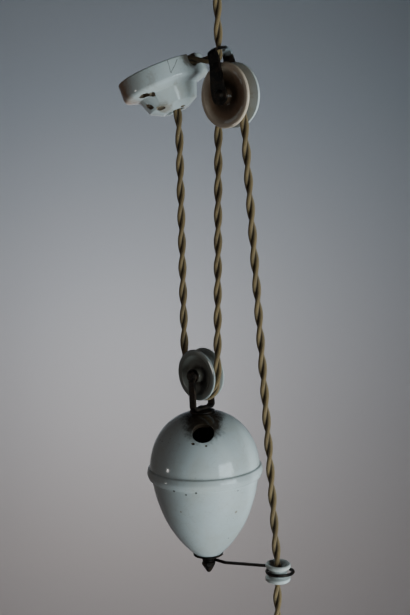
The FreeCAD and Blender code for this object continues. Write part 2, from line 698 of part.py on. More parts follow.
def rose():
    shoulder_end = ROSE_RIM + ROSE_SHOULDER
    hub_top = V(ROSE_HUB_R, 0, shoulder_end + ROSE_CROWN_RISE)
    rim_corner = V(ROSE_R, 0, ROSE_RIM)
    crown = V(ROSE_R - ROSE_SHOULDER, 0, shoulder_end)
    turn = math.radians(45)
    bulge = rim_corner - V(ROSE_SHOULDER, 0, 0) + V(math.cos(turn), 0, math.sin(turn)) * ROSE_SHOULDER
    inner_rim = ROSE_R - ROSE_WALL
    hub_inside = ROSE_HUB_R - ROSE_WALL
    hub = [crown, hub_top, V(ROSE_HUB_R - ROSE_HUB_TAPER, 0, ROSE_HUB_END), V(ROSE_FACE_R, 0, ROSE_HEIGHT),
           V(ROSE_HOLE_R, 0, ROSE_HEIGHT), V(ROSE_HOLE_R, 0, ROSE_HEIGHT - ROSE_WALL)]
    inside = [V(hub_inside - ROSE_HUB_TAPER, 0, ROSE_HUB_END - ROSE_WALL / 2),
              V(hub_inside, 0, hub_top.z - ROSE_WALL),
              V(crown.x - ROSE_WALL / 2, 0, shoulder_end - ROSE_WALL),
              V(inner_rim, 0, ROSE_RIM - ROSE_WALL / 2), V(inner_rim, 0, 0), V(ROSE_R, 0, 0)]
    outline = [line(V(ROSE_R, 0, 0), rim_corner), arc(rim_corner, bulge, crown), *chain(hub + inside)]
    made["rose_cover"] = on_rose(turned(outline)).cut(notch_cutter())

    base = Part.makeCylinder(inner_rim - FREE, ROSE_BASE_THICK)
    for way in (-1, 1):
        base = base.cut(Part.makeCylinder(BASE_SCREW_R, ROSE_BASE_THICK, V(0, way * BASE_SCREW_PCD / 2, 0)))
    base = base.cut(Part.makeCylinder(ENTRY_R, ROSE_BASE_THICK, V(ENTRY_X, ENTRY_Y, 0)))
    made["rose_base"] = on_rose(base).cut(notch_cutter())

    blocks = []
    screws = []
    for way in (-1, 1):
        corner = V(-TERMINAL_WIDE / 2, way * TERMINAL_APART / 2 - TERMINAL_WIDE / 2, ROSE_BASE_THICK + SEAT)
        block = Part.makeBox(TERMINAL_WIDE, TERMINAL_WIDE, TERMINAL_HIGH, corner)
        top = V(0, way * TERMINAL_APART / 2, ROSE_BASE_THICK + SEAT + TERMINAL_HIGH)
        block = block.cut(Part.makeCylinder(TERMINAL_SCREW_R + SEAT, TERMINAL_SCREW_LONG, top, V(0, 0, -1)))
        wire_way = V(-TERMINAL_WIDE, top.y, ROSE_BASE_THICK + TERMINAL_HIGH / 3)
        block = block.cut(Part.makeCylinder(LEAD_R + SEAT, 2 * TERMINAL_WIDE, wire_way, V(1, 0, 0)))
        blocks.append(on_rose(block))
        screw = Part.makeCylinder(TERMINAL_SCREW_R, TERMINAL_SCREW_LONG - SEAT, top, V(0, 0, -1))
        screw = screw.fuse(Part.makeCylinder(TERMINAL_HEAD_R, TERMINAL_HEAD, top + V(0, 0, SEAT)))
        screw = screw.fuse(Part.makeCylinder(TERMINAL_SCREW_R, 2 * SEAT, top - V(0, 0, SEAT)))
        screws.append(on_rose(screw))
    made["rose_terminals"] = Part.makeCompound(blocks)
    made["terminal_screws"] = Part.makeCompound(screws)

    knot_top = ROSE_HEIGHT - ROSE_WALL - ROSE_KNOT_LIFT - ROSE_KNOT_HEIGHT
    bulge = ROSE_KNOT_HEIGHT / 4
    knot = Part.makeCylinder(ROSE_KNOT_R - bulge, ROSE_KNOT_HEIGHT - SEAT)
    for level in (1, 3):
        knot = knot.fuse(Part.makeTorus(ROSE_KNOT_R - bulge, bulge - SEAT, V(0, 0, level * bulge)))
    knot.translate(V(ROSE_LEAN_X, ROSE_LEAN_Y, knot_top))
    made["rose_knot"] = on_rose(knot)
    rose_leads(knot_top)


def rose_leads(knot_top):
    """The flex's own strands inside the rose, from its two ends to the terminals."""
    level = ROSE_BASE_THICK + TERMINAL_HIGH / 3
    approach = LEAD_APPROACH
    leads = []
    for way in (-1, 1):
        side = way * TERMINAL_APART / 2
        strand = way * (LEAD_R + SEAT)
        feed = FEED_END + FEED_WAY * SEAT + FEED_SIDE * strand
        dive = feed + FEED_WAY * (FEED_BEND_R / 2)
        under = rose_point(ENTRY_X - ENTRY_R / 2, ENTRY_Y / 2 - strand, level + LEAD_R)
        route = [feed, dive, under, rose_point(approach, -side, level), rose_point(0, -side, level)]
        leads.append(tube(corner_route(route, [2 * LEAD_R] * 3), LEAD_R))
        start = rose_point(ROSE_LEAN_X, -strand, knot_top - SEAT)
        lift = rose_point(ROSE_LEAN_X, -strand, knot_top - 3 * LEAD_R)
        route = [start, lift, rose_point(-approach, -strand, level), rose_point(-approach, -side, level),
                 rose_point(-2 * SEAT, -side, level)]
        leads.append(tube(corner_route(route, [2 * LEAD_R] * 3), LEAD_R))
    made["rose_leads"] = Part.makeCompound(leads)


# ---------------------------------------------------------------- the flex's stretches
def tangent(start, start_r, end, end_r):
    """Ends of the straight run between two circles in the XZ plane.

    A radius is positive where the circle's centre lies to the left of the run, negative where it lies
    to the right, and 0 for a point.
    """
    way = end - start
    turn = math.atan2(way.z, way.x) - math.asin((end_r - start_r) / way.Length)
    left = V(-math.sin(turn), 0, math.cos(turn))
    return start - left * start_r, end - left * end_r


def flex_stretches():
    guide_point = SPOOL
    _, lower_left = tangent(ROSE_EXIT, 0, LOWER, LOWER_SEAT_R)
    lower_right, upper_left = tangent(LOWER, LOWER_SEAT_R, UPPER, -UPPER_SEAT_R)
    upper_right, _ = tangent(UPPER, -UPPER_SEAT_R, guide_point, 0)
    guide_top = SPOOL.z + GUIDE_REACH
    share = (guide_top - upper_right.z) / (guide_point.z - upper_right.z)
    above_guide = upper_right + (guide_point - upper_right) * share

    feed_start = V(0, 0, KNOT_BOTTOM - FREE)
    flex("supply_flex", corner_route([feed_start, FEED_CORNER, FEED_END], [FEED_BEND_R]))
    knot_place = rose_point(ROSE_LEAN_X, ROSE_LEAN_Y, ROSE_HEIGHT - ROSE_WALL - ROSE_KNOT_LIFT)
    flex("fall_left", corner_route([knot_place, ROSE_EXIT, lower_left], [FALL_BEND_R]))
    flex("flex_under_lower_wheel", Part.Wire(arc(lower_left, LOWER - V(0, 0, LOWER_SEAT_R), lower_right)))
    flex("fall_middle", Part.Wire(line(lower_right, upper_left)))
    flex("flex_over_upper_wheel", Part.Wire(arc(upper_left, UPPER + V(0, 0, UPPER_SEAT_R), upper_right)))
    flex("fall_right", Part.Wire(line(upper_right, above_guide)))
    flex("lamp_flex", corner_route([above_guide, guide_point, V(SPOOL_X, 0, HOLDER_TOP)], [GUIDE_BEND_R]))


# ---------------------------------------------------------------- lamp end
def brass_cap(top, foot):
    """The holder's domed cap, with the hole for the grip's stem in its flat top."""
    wall = HOLDER_WALL
    neck = GRIP_STEM_R + SEAT
    outside = [(CAP_TOP_R, top - SEAT), (CAP_SLOPE_R, top - CAP_SLOPE),
               (HOLDER_R - CAP_CURVE, top - CAP_CURVE_DROP), (HOLDER_R, top - CAP_SIDE_DROP)]
    inside = [(radius - wall, level - wall) for radius, level in reversed(outside)]
    return spun([(neck, top - SEAT)] + outside + [(HOLDER_R, foot), (HOLDER_R - wall, foot)] + inside
                + [(neck, top - SEAT - wall)])


def lampholder():
    top = -GRIP_HEIGHT
    bore = FLEX_R + FREE
    grip = spun([(bore, 0), (GRIP_TOP_R, 0), (GRIP_R, -GRIP_SHOULDER), (GRIP_R, top), (GRIP_STEM_R, top),
                 (GRIP_STEM_R, top - GRIP_STEM), (bore, top - GRIP_STEM)])
    cap_foot = top - CAP_HEIGHT
    cap = brass_cap(top, cap_foot)

    insert_r = HOLDER_R - HOLDER_WALL - SEAT
    insert_foot = cap_foot - INSERT_THICK / 2
    ceiling = insert_foot + CONTACT_DEEP + 2 * SEAT
    insert = ring(insert_r, INSERT_BORE_R, INSERT_THICK, insert_foot)
    insert = insert.cut(Part.makeCylinder(CONTACT_ROOM_R, ceiling - insert_foot, V(0, 0, insert_foot)))
    strip_top = ceiling - SEAT
    corner = V(-CONTACT_LONG / 2, -CONTACT_WIDE / 2, strip_top - CONTACT_THICK)
    strip = Part.makeBox(CONTACT_LONG, CONTACT_WIDE, CONTACT_THICK, corner)
    corner = V(-CONTACT_LONG / 2, -CONTACT_WIDE / 2, strip_top - CONTACT_DEEP)
    tongue = Part.makeBox(CONTACT_THICK, CONTACT_WIDE, CONTACT_DEEP, corner)

    body_top = cap_foot - SEAT
    body = ring(HOLDER_R, HOLDER_R - HOLDER_WALL, BODY_HEIGHT, body_top - BODY_HEIGHT)
    floor = insert_foot - SEAT
    shell = ring(SOCKET_R + SOCKET_WALL, SOCKET_R, SOCKET_DEPTH, floor - SOCKET_DEPTH)
    shell = shell.fuse(ring(insert_r - SEAT, SOCKET_R, SOCKET_WALL, floor - SOCKET_WALL))
    ring_foot = body_top - RING_THICK
    flange = ring(RING_R, HOLDER_R + SEAT, RING_THICK, ring_foot)
    clamp_ring = ring(RING_R, HOLDER_R + SEAT, RING_THICK, ring_foot - SHADE_GAP - RING_THICK)

    place = V(SPOOL_X, 0, HOLDER_TOP)
    pieces = {"cord_grip": grip, "holder_cap": cap, "holder_insert": insert, "holder_body": body,
              "lamp_screw_shell": shell, "shade_flange": flange, "shade_ring": clamp_ring,
              "centre_contact": strip.fuse(tongue)}
    for name, piece in pieces.items():
        made[name] = stand(piece, place)
    leads = []
    for way in (-1, 1):
        aside = V(way * (LEAD_R + SEAT), 0, 0)
        leads.append(tube(Part.Wire(line(aside - V(0, 0, SEAT), aside + V(0, 0, ceiling))), LEAD_R))
    made["holder_leads"] = stand(Part.makeCompound(leads), place)


# ---------------------------------------------------------------- build and write
def build():
    ceiling_hook()
    top_knot()
    wheel_set("upper", UPPER, wheel(UPPER_WHEEL_R, UPPER_WHEEL_WIDTH, UPPER_SEAT_R, UPPER_HUB_WIDTH,
                                    UPPER_DISH_R, UPPER_DISH_DEPTH), UPPER_HUB_WIDTH)
    wheel_set("lower", LOWER, wheel(LOWER_WHEEL_R, LOWER_WHEEL_WIDTH, LOWER_SEAT_R, LOWER_HUB_WIDTH,
                                    LOWER_DISH_R, LOWER_DISH_DEPTH), LOWER_HUB_WIDTH)
    upper_fork()
    lower_fork()
    counterweight()
    tie_rod_and_ends()
    guide_arm()
    guide_spool()
    rose()
    flex_stretches()
    lampholder()


build()
os.makedirs("parts", exist_ok=True)
for name, shape in made.items():
    shape.exportStep(f"parts/{name}.step")
    print(f"{name}: {len(shape.Solids)} solid(s), valid {shape.isValid()}, {shape.Volume / 1000:.2f} cm3")
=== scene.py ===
"""The rise and fall pendant, dressed: aged porcelain, rusted iron, twisted silk flex, brass lampholder.

Frame: metres, +Z up, origin where the ceiling hook's screw leaves the ceiling.
The named places and sizes, points and outlines below are in millimetres.
"""
import math

import bmesh
import bpy
from mathutils import Matrix, Vector, noise


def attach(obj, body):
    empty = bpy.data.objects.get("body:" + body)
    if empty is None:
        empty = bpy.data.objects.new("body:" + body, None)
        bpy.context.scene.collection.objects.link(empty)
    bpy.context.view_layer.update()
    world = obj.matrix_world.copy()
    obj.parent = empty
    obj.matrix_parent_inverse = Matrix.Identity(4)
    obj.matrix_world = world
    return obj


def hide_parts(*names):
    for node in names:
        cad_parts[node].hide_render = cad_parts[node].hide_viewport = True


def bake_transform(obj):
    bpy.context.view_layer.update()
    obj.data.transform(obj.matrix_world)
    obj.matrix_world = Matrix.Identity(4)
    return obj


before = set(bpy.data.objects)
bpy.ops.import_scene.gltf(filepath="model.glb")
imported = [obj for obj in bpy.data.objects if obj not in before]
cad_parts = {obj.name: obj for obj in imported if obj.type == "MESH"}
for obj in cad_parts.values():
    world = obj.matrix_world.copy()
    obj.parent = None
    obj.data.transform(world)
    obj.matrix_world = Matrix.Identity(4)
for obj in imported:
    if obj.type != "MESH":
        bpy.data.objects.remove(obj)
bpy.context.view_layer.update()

MM = 0.001
SHARP_EDGE = math.radians(40)

# places and sizes of the part, as in its source
UPPER_AXLE = Vector((15.0, 0.0, -156.0))
LOWER_AXLE = Vector((-18.2, 0.0, -390.0))
SPOOL = Vector((71.5, 0.0, -541.5))
HOLDER = Vector((71.5, 0.0, -599.0))

VIEW_TURN = math.radians(45.0)
FRONT = Vector((math.sin(VIEW_TURN), -math.cos(VIEW_TURN), 0))   # level, from the part to the camera
RIGHT = Vector((math.cos(VIEW_TURN), math.sin(VIEW_TURN), 0))    # level, to the picture's right

WEIGHT_LEAN = math.radians(3.2)
BEAD_DOWN = 84.5          # from the lower axle down to the egg's bead
EGG_R = 47.5
EGG_WALL = 5.0
DOME_HEIGHT = 53.0
DOME_POWER = 2 / 2.15     # fuller than a half ellipse
TIE_ROD_R = 2.8
CHIPPED_R = 26.2          # the chips stand just outside the upper wheel's rim
FILLER_TURN = math.radians(-45.0)
FILLER_TIP = math.radians(40.0)

ROSE_EXIT = Vector((-44.2, 0.0, -170.5))
ROSE_TILTS = (math.radians(21.3), math.radians(9.0))   # to the right and to the front
ROSE_HEIGHT = 36.4
ROSE_LEANS = (1.3, -1.9)  # from the hub's middle to the flex in its hole
FEED_CORNER = Vector((2.3, 0.0, -128.0))
FEED_END = Vector((-36.0, -8.0, -128.0))
FEED_HOLE_R = 4.6

FLEX_D = 7.0
STRAND_R = 1.85           # one covered wire, a little squeezed where the two touch
TWIST_R = 1.72            # from the flex's middle to a strand's middle
LAY = 43.0                # one full turn of the twist

FLOAT, WHOLE, VECTOR = "NodeSocketFloat", "NodeSocketInt", "NodeSocketVector"
GEOMETRY, MATERIAL = "NodeSocketGeometry", "NodeSocketMaterial"


# ---------------- node helpers
def fill(tree, made, inputs):
    """Link or set a node's inputs by name or number."""
    for key, value in inputs.items():
        if isinstance(value, bpy.types.NodeSocket):
            tree.links.new(value, made.inputs[key])
        else:
            made.inputs[key].default_value = value
    return made


def node(tree, kind, inputs=None, **settings):
    """Add a node with its own settings, then link or set its inputs."""
    made = tree.nodes.new(kind)
    for key, value in settings.items():
        setattr(made, key, value)
    return fill(tree, made, inputs or {})


def maths(tree, operation, first, second=0.5, third=0.5):
    """The result of one maths node."""
    return node(tree, "ShaderNodeMath", {0: first, 1: second, 2: third}, operation=operation).outputs[0]


def vector_maths(tree, operation, first, second):
    """The vector that one vector maths node gives; SCALE takes a number second."""
    key = "Scale" if operation == "SCALE" else 1
    return node(tree, "ShaderNodeVectorMath", {0: first, key: second}, operation=operation).outputs[0]


def measure(tree, operation, first, second=(0, 0, 0)):
    """The number that DISTANCE, DOT_PRODUCT or LENGTH gives."""
    made = node(tree, "ShaderNodeVectorMath", {0: first, 1: second}, operation=operation)
    return made.outputs["Value"]


def parts(tree, vector):
    """The X, Y and Z of a vector."""
    return node(tree, "ShaderNodeSeparateXYZ", {0: vector}).outputs


def cloud(tree, place, scale, detail, **more):
    """Noise about 0.5, at a scale in turns per metre."""
    inputs = {"Vector": place, "Scale": scale, "Detail": detail, **more}
    return node(tree, "ShaderNodeTexNoise", inputs).outputs["Fac"]


def ramp(tree, value, low, high, smooth=False):
    """0 at low and 1 at high, and no more beyond them."""
    return node(tree, "ShaderNodeMapRange", {"Value": value, "From Min": low, "From Max": high},
                interpolation_type="SMOOTHSTEP" if smooth else "LINEAR").outputs["Result"]


def node_group(kind, name, inputs, outputs):
    """A node group with named sockets: (name, socket type, default) in, (name, socket type) out."""
    tree = bpy.data.node_groups.new(name, kind)
    for label, socket, value in inputs:
        made = tree.interface.new_socket(name=label, in_out="INPUT", socket_type=socket)
        if value is not None:
            made.default_value = value
    for label, socket in outputs:
        tree.interface.new_socket(name=label, in_out="OUTPUT", socket_type=socket)
    return tree, tree.nodes.new("NodeGroupInput").outputs, tree.nodes.new("NodeGroupOutput").inputs


# ---------------- shader groups
def stain_group():
    """Soft blotches: a mask that is 1 where the stain is full."""
    tree, given, out = node_group("ShaderNodeTree", "blotches", [
        ("Vector", VECTOR, None), ("Scale", FLOAT, 60.0), ("Low", FLOAT, 0.45), ("High", FLOAT, 0.7),
    ], [("Mask", FLOAT)])
    haze = cloud(tree, given["Vector"], given["Scale"], 6.0, Roughness=0.62, Distortion=0.4)
    tree.links.new(ramp(tree, haze, given["Low"], given["High"], smooth=True), out["Mask"])
    return tree


def speck_group():
    """Small iron specks under the glaze."""
    tree, given, out = node_group("ShaderNodeTree", "specks", [
        ("Vector", VECTOR, None), ("Scale", FLOAT, 220.0), ("Share", FLOAT, 0.05), ("Size", FLOAT, 0.16),
    ], [("Mask", FLOAT)])
    cells = node(tree, "ShaderNodeTexVoronoi", {"Vector": given["Vector"], "Scale": given["Scale"]})
    dot = ramp(tree, cells.outputs["Distance"], given["Size"], maths(tree, "MULTIPLY", given["Size"], 0.5))
    lot = node(tree, "ShaderNodeSeparateColor", {"Color": cells.outputs["Color"]}).outputs["Red"]
    chosen = maths(tree, "LESS_THAN", lot, given["Share"])
    tree.links.new(maths(tree, "MULTIPLY", dot, chosen), out["Mask"])
    return tree


def crazing_group():
    """The fine net of cracks in an old glaze."""
    tree, given, out = node_group("ShaderNodeTree", "crazing", [
        ("Vector", VECTOR, None), ("Scale", FLOAT, 160.0), ("Width", FLOAT, 0.03),
    ], [("Mask", FLOAT)])
    bent = node(tree, "ShaderNodeTexNoise", {"Vector": given["Vector"], "Scale": 300.0, "Detail": 2.0})
    centred = vector_maths(tree, "SUBTRACT", bent.outputs["Color"], (0.5, 0.5, 0.5))
    moved = vector_maths(tree, "ADD", given["Vector"], vector_maths(tree, "SCALE", centred, 0.004))
    cells = node(tree, "ShaderNodeTexVoronoi", {"Vector": moved, "Scale": given["Scale"]},
                 feature="DISTANCE_TO_EDGE")
    edge = ramp(tree, cells.outputs["Distance"], given["Width"], 0.0)
    haze = cloud(tree, given["Vector"], 45.0, 2.0)
    tree.links.new(maths(tree, "MULTIPLY", edge, maths(tree, "MULTIPLY", haze, haze)), out["Mask"])
    return tree


def braid_group():
    """A woven braid round a strand: yarns crossing both ways, from the strand's own attributes."""
    tree, given, out = node_group("ShaderNodeTree", "silk_braid", [
        ("Around", FLOAT, 0.0), ("Along", FLOAT, 0.0), ("Yarns", FLOAT, 8.0), ("Pitch", FLOAT, 0.006),
    ], [("Height", FLOAT), ("Yarn", FLOAT)])
    turns = maths(tree, "MULTIPLY", given["Around"], given["Yarns"])
    length = maths(tree, "MULTIPLY", maths(tree, "DIVIDE", given["Along"], given["Pitch"]), math.tau * 4)
    left = maths(tree, "SINE", maths(tree, "ADD", turns, length))
    right = maths(tree, "SINE", maths(tree, "SUBTRACT", turns, length))
    over = maths(tree, "MAXIMUM", left, right)
    tree.links.new(maths(tree, "MULTIPLY_ADD", over, 0.5, 0.5), out["Height"])
    tree.links.new(maths(tree, "MULTIPLY_ADD", left, 0.5, 0.5), out["Yarn"])
    return tree


BLOTCHES = stain_group()
SPECKS = speck_group()
CRAZING = crazing_group()
BRAID = braid_group()


def grouped(tree, group, inputs):
    """The outputs of a shared effect that is placed with its own values."""
    return node(tree, "ShaderNodeGroup", inputs, node_tree=group).outputs


def blotches(tree, place, scale, low, high):
    """The blotch mask at one scale."""
    return grouped(tree, BLOTCHES, {"Vector": place, "Scale": scale, "Low": low, "High": high})["Mask"]


# ---------------- masks and colours
WHITE = (0.62, 0.64, 0.62)
CREAM = (0.55, 0.50, 0.40)
TEA = (0.26, 0.17, 0.09)
# dark brown-black: soot stains and specks, and painted shade on the egg's crown
SOOT_AND_SHADE = (0.045, 0.030, 0.020)
IRON_SPECK = (0.07, 0.05, 0.04)
CRACK_DIRT = (0.10, 0.065, 0.04)
# bluish grey: bare rubbed iron with a painted highlight
WEAR_AND_HIGHLIGHT = (0.52, 0.56, 0.58)
CRACK_SIGHT = (-0.7, 0.7, -0.15)
NEAR_FACE = -2.5          # a wheel's ring marks lie in front of this Y: stains, and on the lower wheel also painted shade


def new_material(name):
    """A material with its tree, its shader and Object coordinates."""
    material = bpy.data.materials.new(name)
    material.use_nodes = True
    tree = material.node_tree
    return material, tree, tree.nodes["Principled BSDF"], node(tree, "ShaderNodeTexCoord").outputs["Object"]


def mix(tree, mask, first, second):
    """A colour between two others."""
    made = node(tree, "ShaderNodeMix", data_type="RGBA")
    for key, value in (("Factor", mask), ("A", first), ("B", second)):
        socket = [s for s in made.inputs if s.name == key and s.enabled][0]
        if isinstance(value, bpy.types.NodeSocket):
            tree.links.new(value, socket)
        else:
            socket.default_value = value if key == "Factor" else (*value, 1.0)
    return [s for s in made.outputs if s.enabled][0]


def tinted(tree, colour, mask, strength, shade):
    """A colour drawn towards a shade where a mask says so."""
    return mix(tree, maths(tree, "MULTIPLY", mask, strength), colour, shade)


def bumped(tree, height, distance, strength=1.0):
    """The normal of a surface that a height raises."""
    made = node(tree, "ShaderNodeBump", {"Height": height, "Distance": distance, "Strength": strength})
    return made.outputs["Normal"]


def near(tree, place, centre, reach, ragged):
    """A mask that is 1 at a centre and falls to 0 at a ragged reach from it."""
    haze = cloud(tree, place, 260.0, 4.0, Roughness=0.65)
    away = measure(tree, "DISTANCE", place, Vector(centre) * MM)
    rough = maths(tree, "MULTIPLY_ADD", haze, 2 * ragged * MM, -ragged * MM)
    return ramp(tree, maths(tree, "ADD", away, rough), reach * MM, 0.45 * reach * MM, smooth=True)


def off_axle(tree, place, axle):
    """Distance from an axle that lies along Y."""
    moved = vector_maths(tree, "SUBTRACT", place, axle * MM)
    return measure(tree, "LENGTH", vector_maths(tree, "MULTIPLY", moved, (1, 0, 1)))


def crack(tree, place, start, end):
    """A hairline from start to end: a thin mask in the plane that also holds the sight direction."""
    start, end = Vector(start) * MM, Vector(end) * MM
    middle = (start + end) / 2
    across = (end - start).cross(Vector(CRACK_SIGHT)).normalized()
    wobble = maths(tree, "MULTIPLY_ADD", cloud(tree, place, 300.0, 3.0), 0.0024, -0.0012)
    off = measure(tree, "DOT_PRODUCT", vector_maths(tree, "SUBTRACT", place, middle), across)
    line = ramp(tree, maths(tree, "ABSOLUTE", maths(tree, "ADD", off, wobble)), 0.00032, 0.00012)
    held = maths(tree, "LESS_THAN", measure(tree, "DISTANCE", place, middle), (end - start).length / 2)
    return maths(tree, "MULTIPLY", line, held)


# ---------------- materials
def porcelain(name, tea=0.2, cream=0.5, patches=(), rings=(), axle=None, cracks=()):
    """Off-white glaze with cream clouds, tea-brown stains, crazing and specks.

    Patches are (place, reach, raggedness, strength, colour). Rings are (inner, outer, strength, colour)
    round an axle, on the near face. Cracks are pairs of places.
    """
    material, tree, shader, place = new_material(name)
    clouds = blotches(tree, place, 34.0, 0.40, 0.72)
    stains = blotches(tree, place, 70.0, 0.56, 0.74)
    net = grouped(tree, CRAZING, {"Vector": place})["Mask"]
    dots = grouped(tree, SPECKS, {"Vector": place})["Mask"]
    colour = tinted(tree, WHITE, clouds, cream, CREAM)
    colour = tinted(tree, colour, stains, tea, TEA)
    colour = tinted(tree, colour, net, 0.45, TEA)
    colour = mix(tree, dots, colour, IRON_SPECK)
    for centre, reach, ragged, strength, shade in patches:
        colour = tinted(tree, colour, near(tree, place, centre, reach, ragged), strength, shade)
    for start, end in cracks:
        colour = tinted(tree, colour, crack(tree, place, start, end), 0.8, CRACK_DIRT)
    for inner, outer, strength, shade in rings:
        uneven = maths(tree, "MULTIPLY_ADD", clouds, 0.003, -0.0015)
        away = maths(tree, "ADD", off_axle(tree, place, axle), uneven)
        band = ramp(tree, away, outer * MM, inner * MM, smooth=True)
        facing = maths(tree, "LESS_THAN", parts(tree, place)["Y"], NEAR_FACE * MM)
        colour = tinted(tree, colour, band, maths(tree, "MULTIPLY", facing, strength), shade)
    fill(tree, shader, {"Base Color": colour, "Roughness": maths(tree, "MULTIPLY_ADD", stains, 0.25, 0.09),
                        "Normal": bumped(tree, cloud(tree, place, 55.0, 1.0), 0.0006, 0.35)})
    return material


def biscuit(name):
    """Unglazed porcelain where it broke, with dirt rubbed in."""
    material, tree, shader, place = new_material(name)
    dirt = blotches(tree, place, 240.0, 0.36, 0.62)
    colour = mix(tree, dirt, (0.34, 0.27, 0.19), (0.12, 0.075, 0.045))
    fill(tree, shader, {"Base Color": colour, "Roughness": 0.85,
                        "Normal": bumped(tree, cloud(tree, place, 1400.0, 4.0), 0.0005, 0.9)})
    return material


def rusted_iron(name, worn_and_lit=()):
    """Dark iron with brown rust and rubbed patches; the bright places (place, reach, raggedness) are bare
    rubbed metal with a painted highlight.
    """
    material, tree, shader, place = new_material(name)
    rust = blotches(tree, place, 150.0, 0.42, 0.66)
    rubbed = blotches(tree, place, 310.0, 0.60, 0.72)
    colour = mix(tree, rust, (0.018, 0.014, 0.012), (0.050, 0.029, 0.017))
    colour = mix(tree, rubbed, colour, (0.085, 0.068, 0.055))
    # bright places: bare rubbed metal with a painted highlight
    for centre, reach, ragged in worn_and_lit:
        colour = mix(tree, near(tree, place, centre, reach, ragged), colour, WEAR_AND_HIGHLIGHT)
    fill(tree, shader, {"Base Color": colour, "Roughness": maths(tree, "MULTIPLY_ADD", rust, 0.35, 0.42),
                        "Metallic": maths(tree, "MULTIPLY_ADD", rust, -0.6, 0.75),
                        "Normal": bumped(tree, cloud(tree, place, 900.0, 5.0), 0.0004, 0.8)})
    return material


def aged_brass(name):
    """Yellow brass, dulled in clouds, with small dark spots."""
    material, tree, shader, place = new_material(name)
    dull = blotches(tree, place, 110.0, 0.38, 0.70)
    spots = grouped(tree, SPECKS, {"Vector": place, "Scale": 420.0, "Share": 0.12, "Size": 0.3})["Mask"]
    colour = mix(tree, dull, (0.62, 0.44, 0.19), (0.24, 0.17, 0.085))
    colour = tinted(tree, colour, spots, 0.7, (0.05, 0.045, 0.03))
    fill(tree, shader, {"Base Color": colour, "Metallic": 1.0,
                        "Roughness": maths(tree, "MULTIPLY_ADD", dull, 0.3, 0.22),
                        "Normal": bumped(tree, cloud(tree, place, 500.0, 3.0), 0.0002, 0.4)})
    return material


def silk(name):
    """Golden-brown braid, darker where hands soiled it, with painted shade where its yarns dip and where the
    strands touch.
    """
    material, tree, shader, place = new_material(name)
    ring = parts(tree, node(tree, "ShaderNodeAttribute", attribute_name="around").outputs["Vector"])
    along = node(tree, "ShaderNodeAttribute", attribute_name="along").outputs["Fac"]
    outness = node(tree, "ShaderNodeAttribute", attribute_name="outness").outputs["Fac"]
    woven = grouped(tree, BRAID, {"Around": maths(tree, "ARCTAN2", ring["Y"], ring["X"]), "Along": along})
    soil = blotches(tree, place, 90.0, 0.40, 0.72)
    yarn = mix(tree, woven["Yarn"], (0.22, 0.135, 0.052), (0.37, 0.245, 0.105))
    # painted shade in the dips of the weave
    colour = mix(tree, maths(tree, "SUBTRACT", 1.0, woven["Height"]), yarn, (0.075, 0.045, 0.018))
    colour = tinted(tree, colour, soil, 0.5, (0.10, 0.062, 0.030))
    # painted shade where the two strands touch, from the distance to the flex's middle
    colour = tinted(tree, colour, ramp(tree, outness, 0.0024, 0.0012), 0.75, (0.045, 0.026, 0.012))
    fill(tree, shader, {"Base Color": colour, "Roughness": 0.62, "Sheen Weight": 0.25,
                        "Normal": bumped(tree, woven["Height"], 0.00035, 0.9)})
    return material


def lead(name):
    """Small grey balls of lead, with painted shade between them."""
    material, tree, shader, place = new_material(name)
    gap = node(tree, "ShaderNodeTexVoronoi", {"Vector": place, "Scale": 260.0}).outputs["Distance"]
    # painted shade in the gaps between the balls
    colour = mix(tree, gap, (0.10, 0.10, 0.105), (0.03, 0.03, 0.03))
    fill(tree, shader, {"Base Color": colour, "Metallic": 0.6, "Roughness": 0.6,
                        "Normal": bumped(tree, maths(tree, "SUBTRACT", 1.0, gap), 0.002)})
    return material


PORCELAIN = porcelain("aged_porcelain")
BISCUIT = biscuit("broken_edge")
EGG_GLAZE = porcelain("egg_glaze", tea=0.12, cream=0.35, patches=[
    # three broad dark patches over the crown: a stain from the cap towards the filler hole, and painted shade
    # over the crown's upper left
    ((-15.0, -2.0, -421.0), 24.0, 5.0, 0.92, SOOT_AND_SHADE),
    ((-6.0, -10.0, -423.0), 22.0, 6.0, 0.97, SOOT_AND_SHADE),
    ((2.0, -17.5, -428.0), 21.0, 6.0, 0.97, SOOT_AND_SHADE),
    ((-4.8, -45.1, -479.7), 1.5, 0.5, 0.9, SOOT_AND_SHADE),
    ((5.8, -41.4, -481.5), 1.1, 0.4, 0.9, SOOT_AND_SHADE),
    ((13.4, -37.3, -478.9), 1.3, 0.5, 0.9, SOOT_AND_SHADE),
    ((-1.3, -40.5, -498.4), 1.2, 0.4, 0.7, TEA),
    ((28.6, -5.2, -499.8), 1.7, 0.6, 0.7, TEA),
])
UPPER_GLAZE = porcelain("upper_wheel_glaze", tea=0.35, cream=0.7, axle=UPPER_AXLE, rings=[
    (25.5, 31.0, 0.75, (0.66, 0.45, 0.29)),
    (15.0, 22.5, 0.85, (0.24, 0.13, 0.07)),
    (9.0, 17.0, 0.92, (0.06, 0.035, 0.022)),
])
LOWER_GLAZE = porcelain("lower_wheel_glaze", tea=0.3, cream=0.8, axle=LOWER_AXLE, rings=[
    # the outer olive-grey ring: a tan stain and painted shade over the lower wheel's near face
    (17.0, 24.0, 0.75, (0.14, 0.125, 0.085)),
    (6.0, 10.0, 0.75, (0.07, 0.05, 0.035)),
])
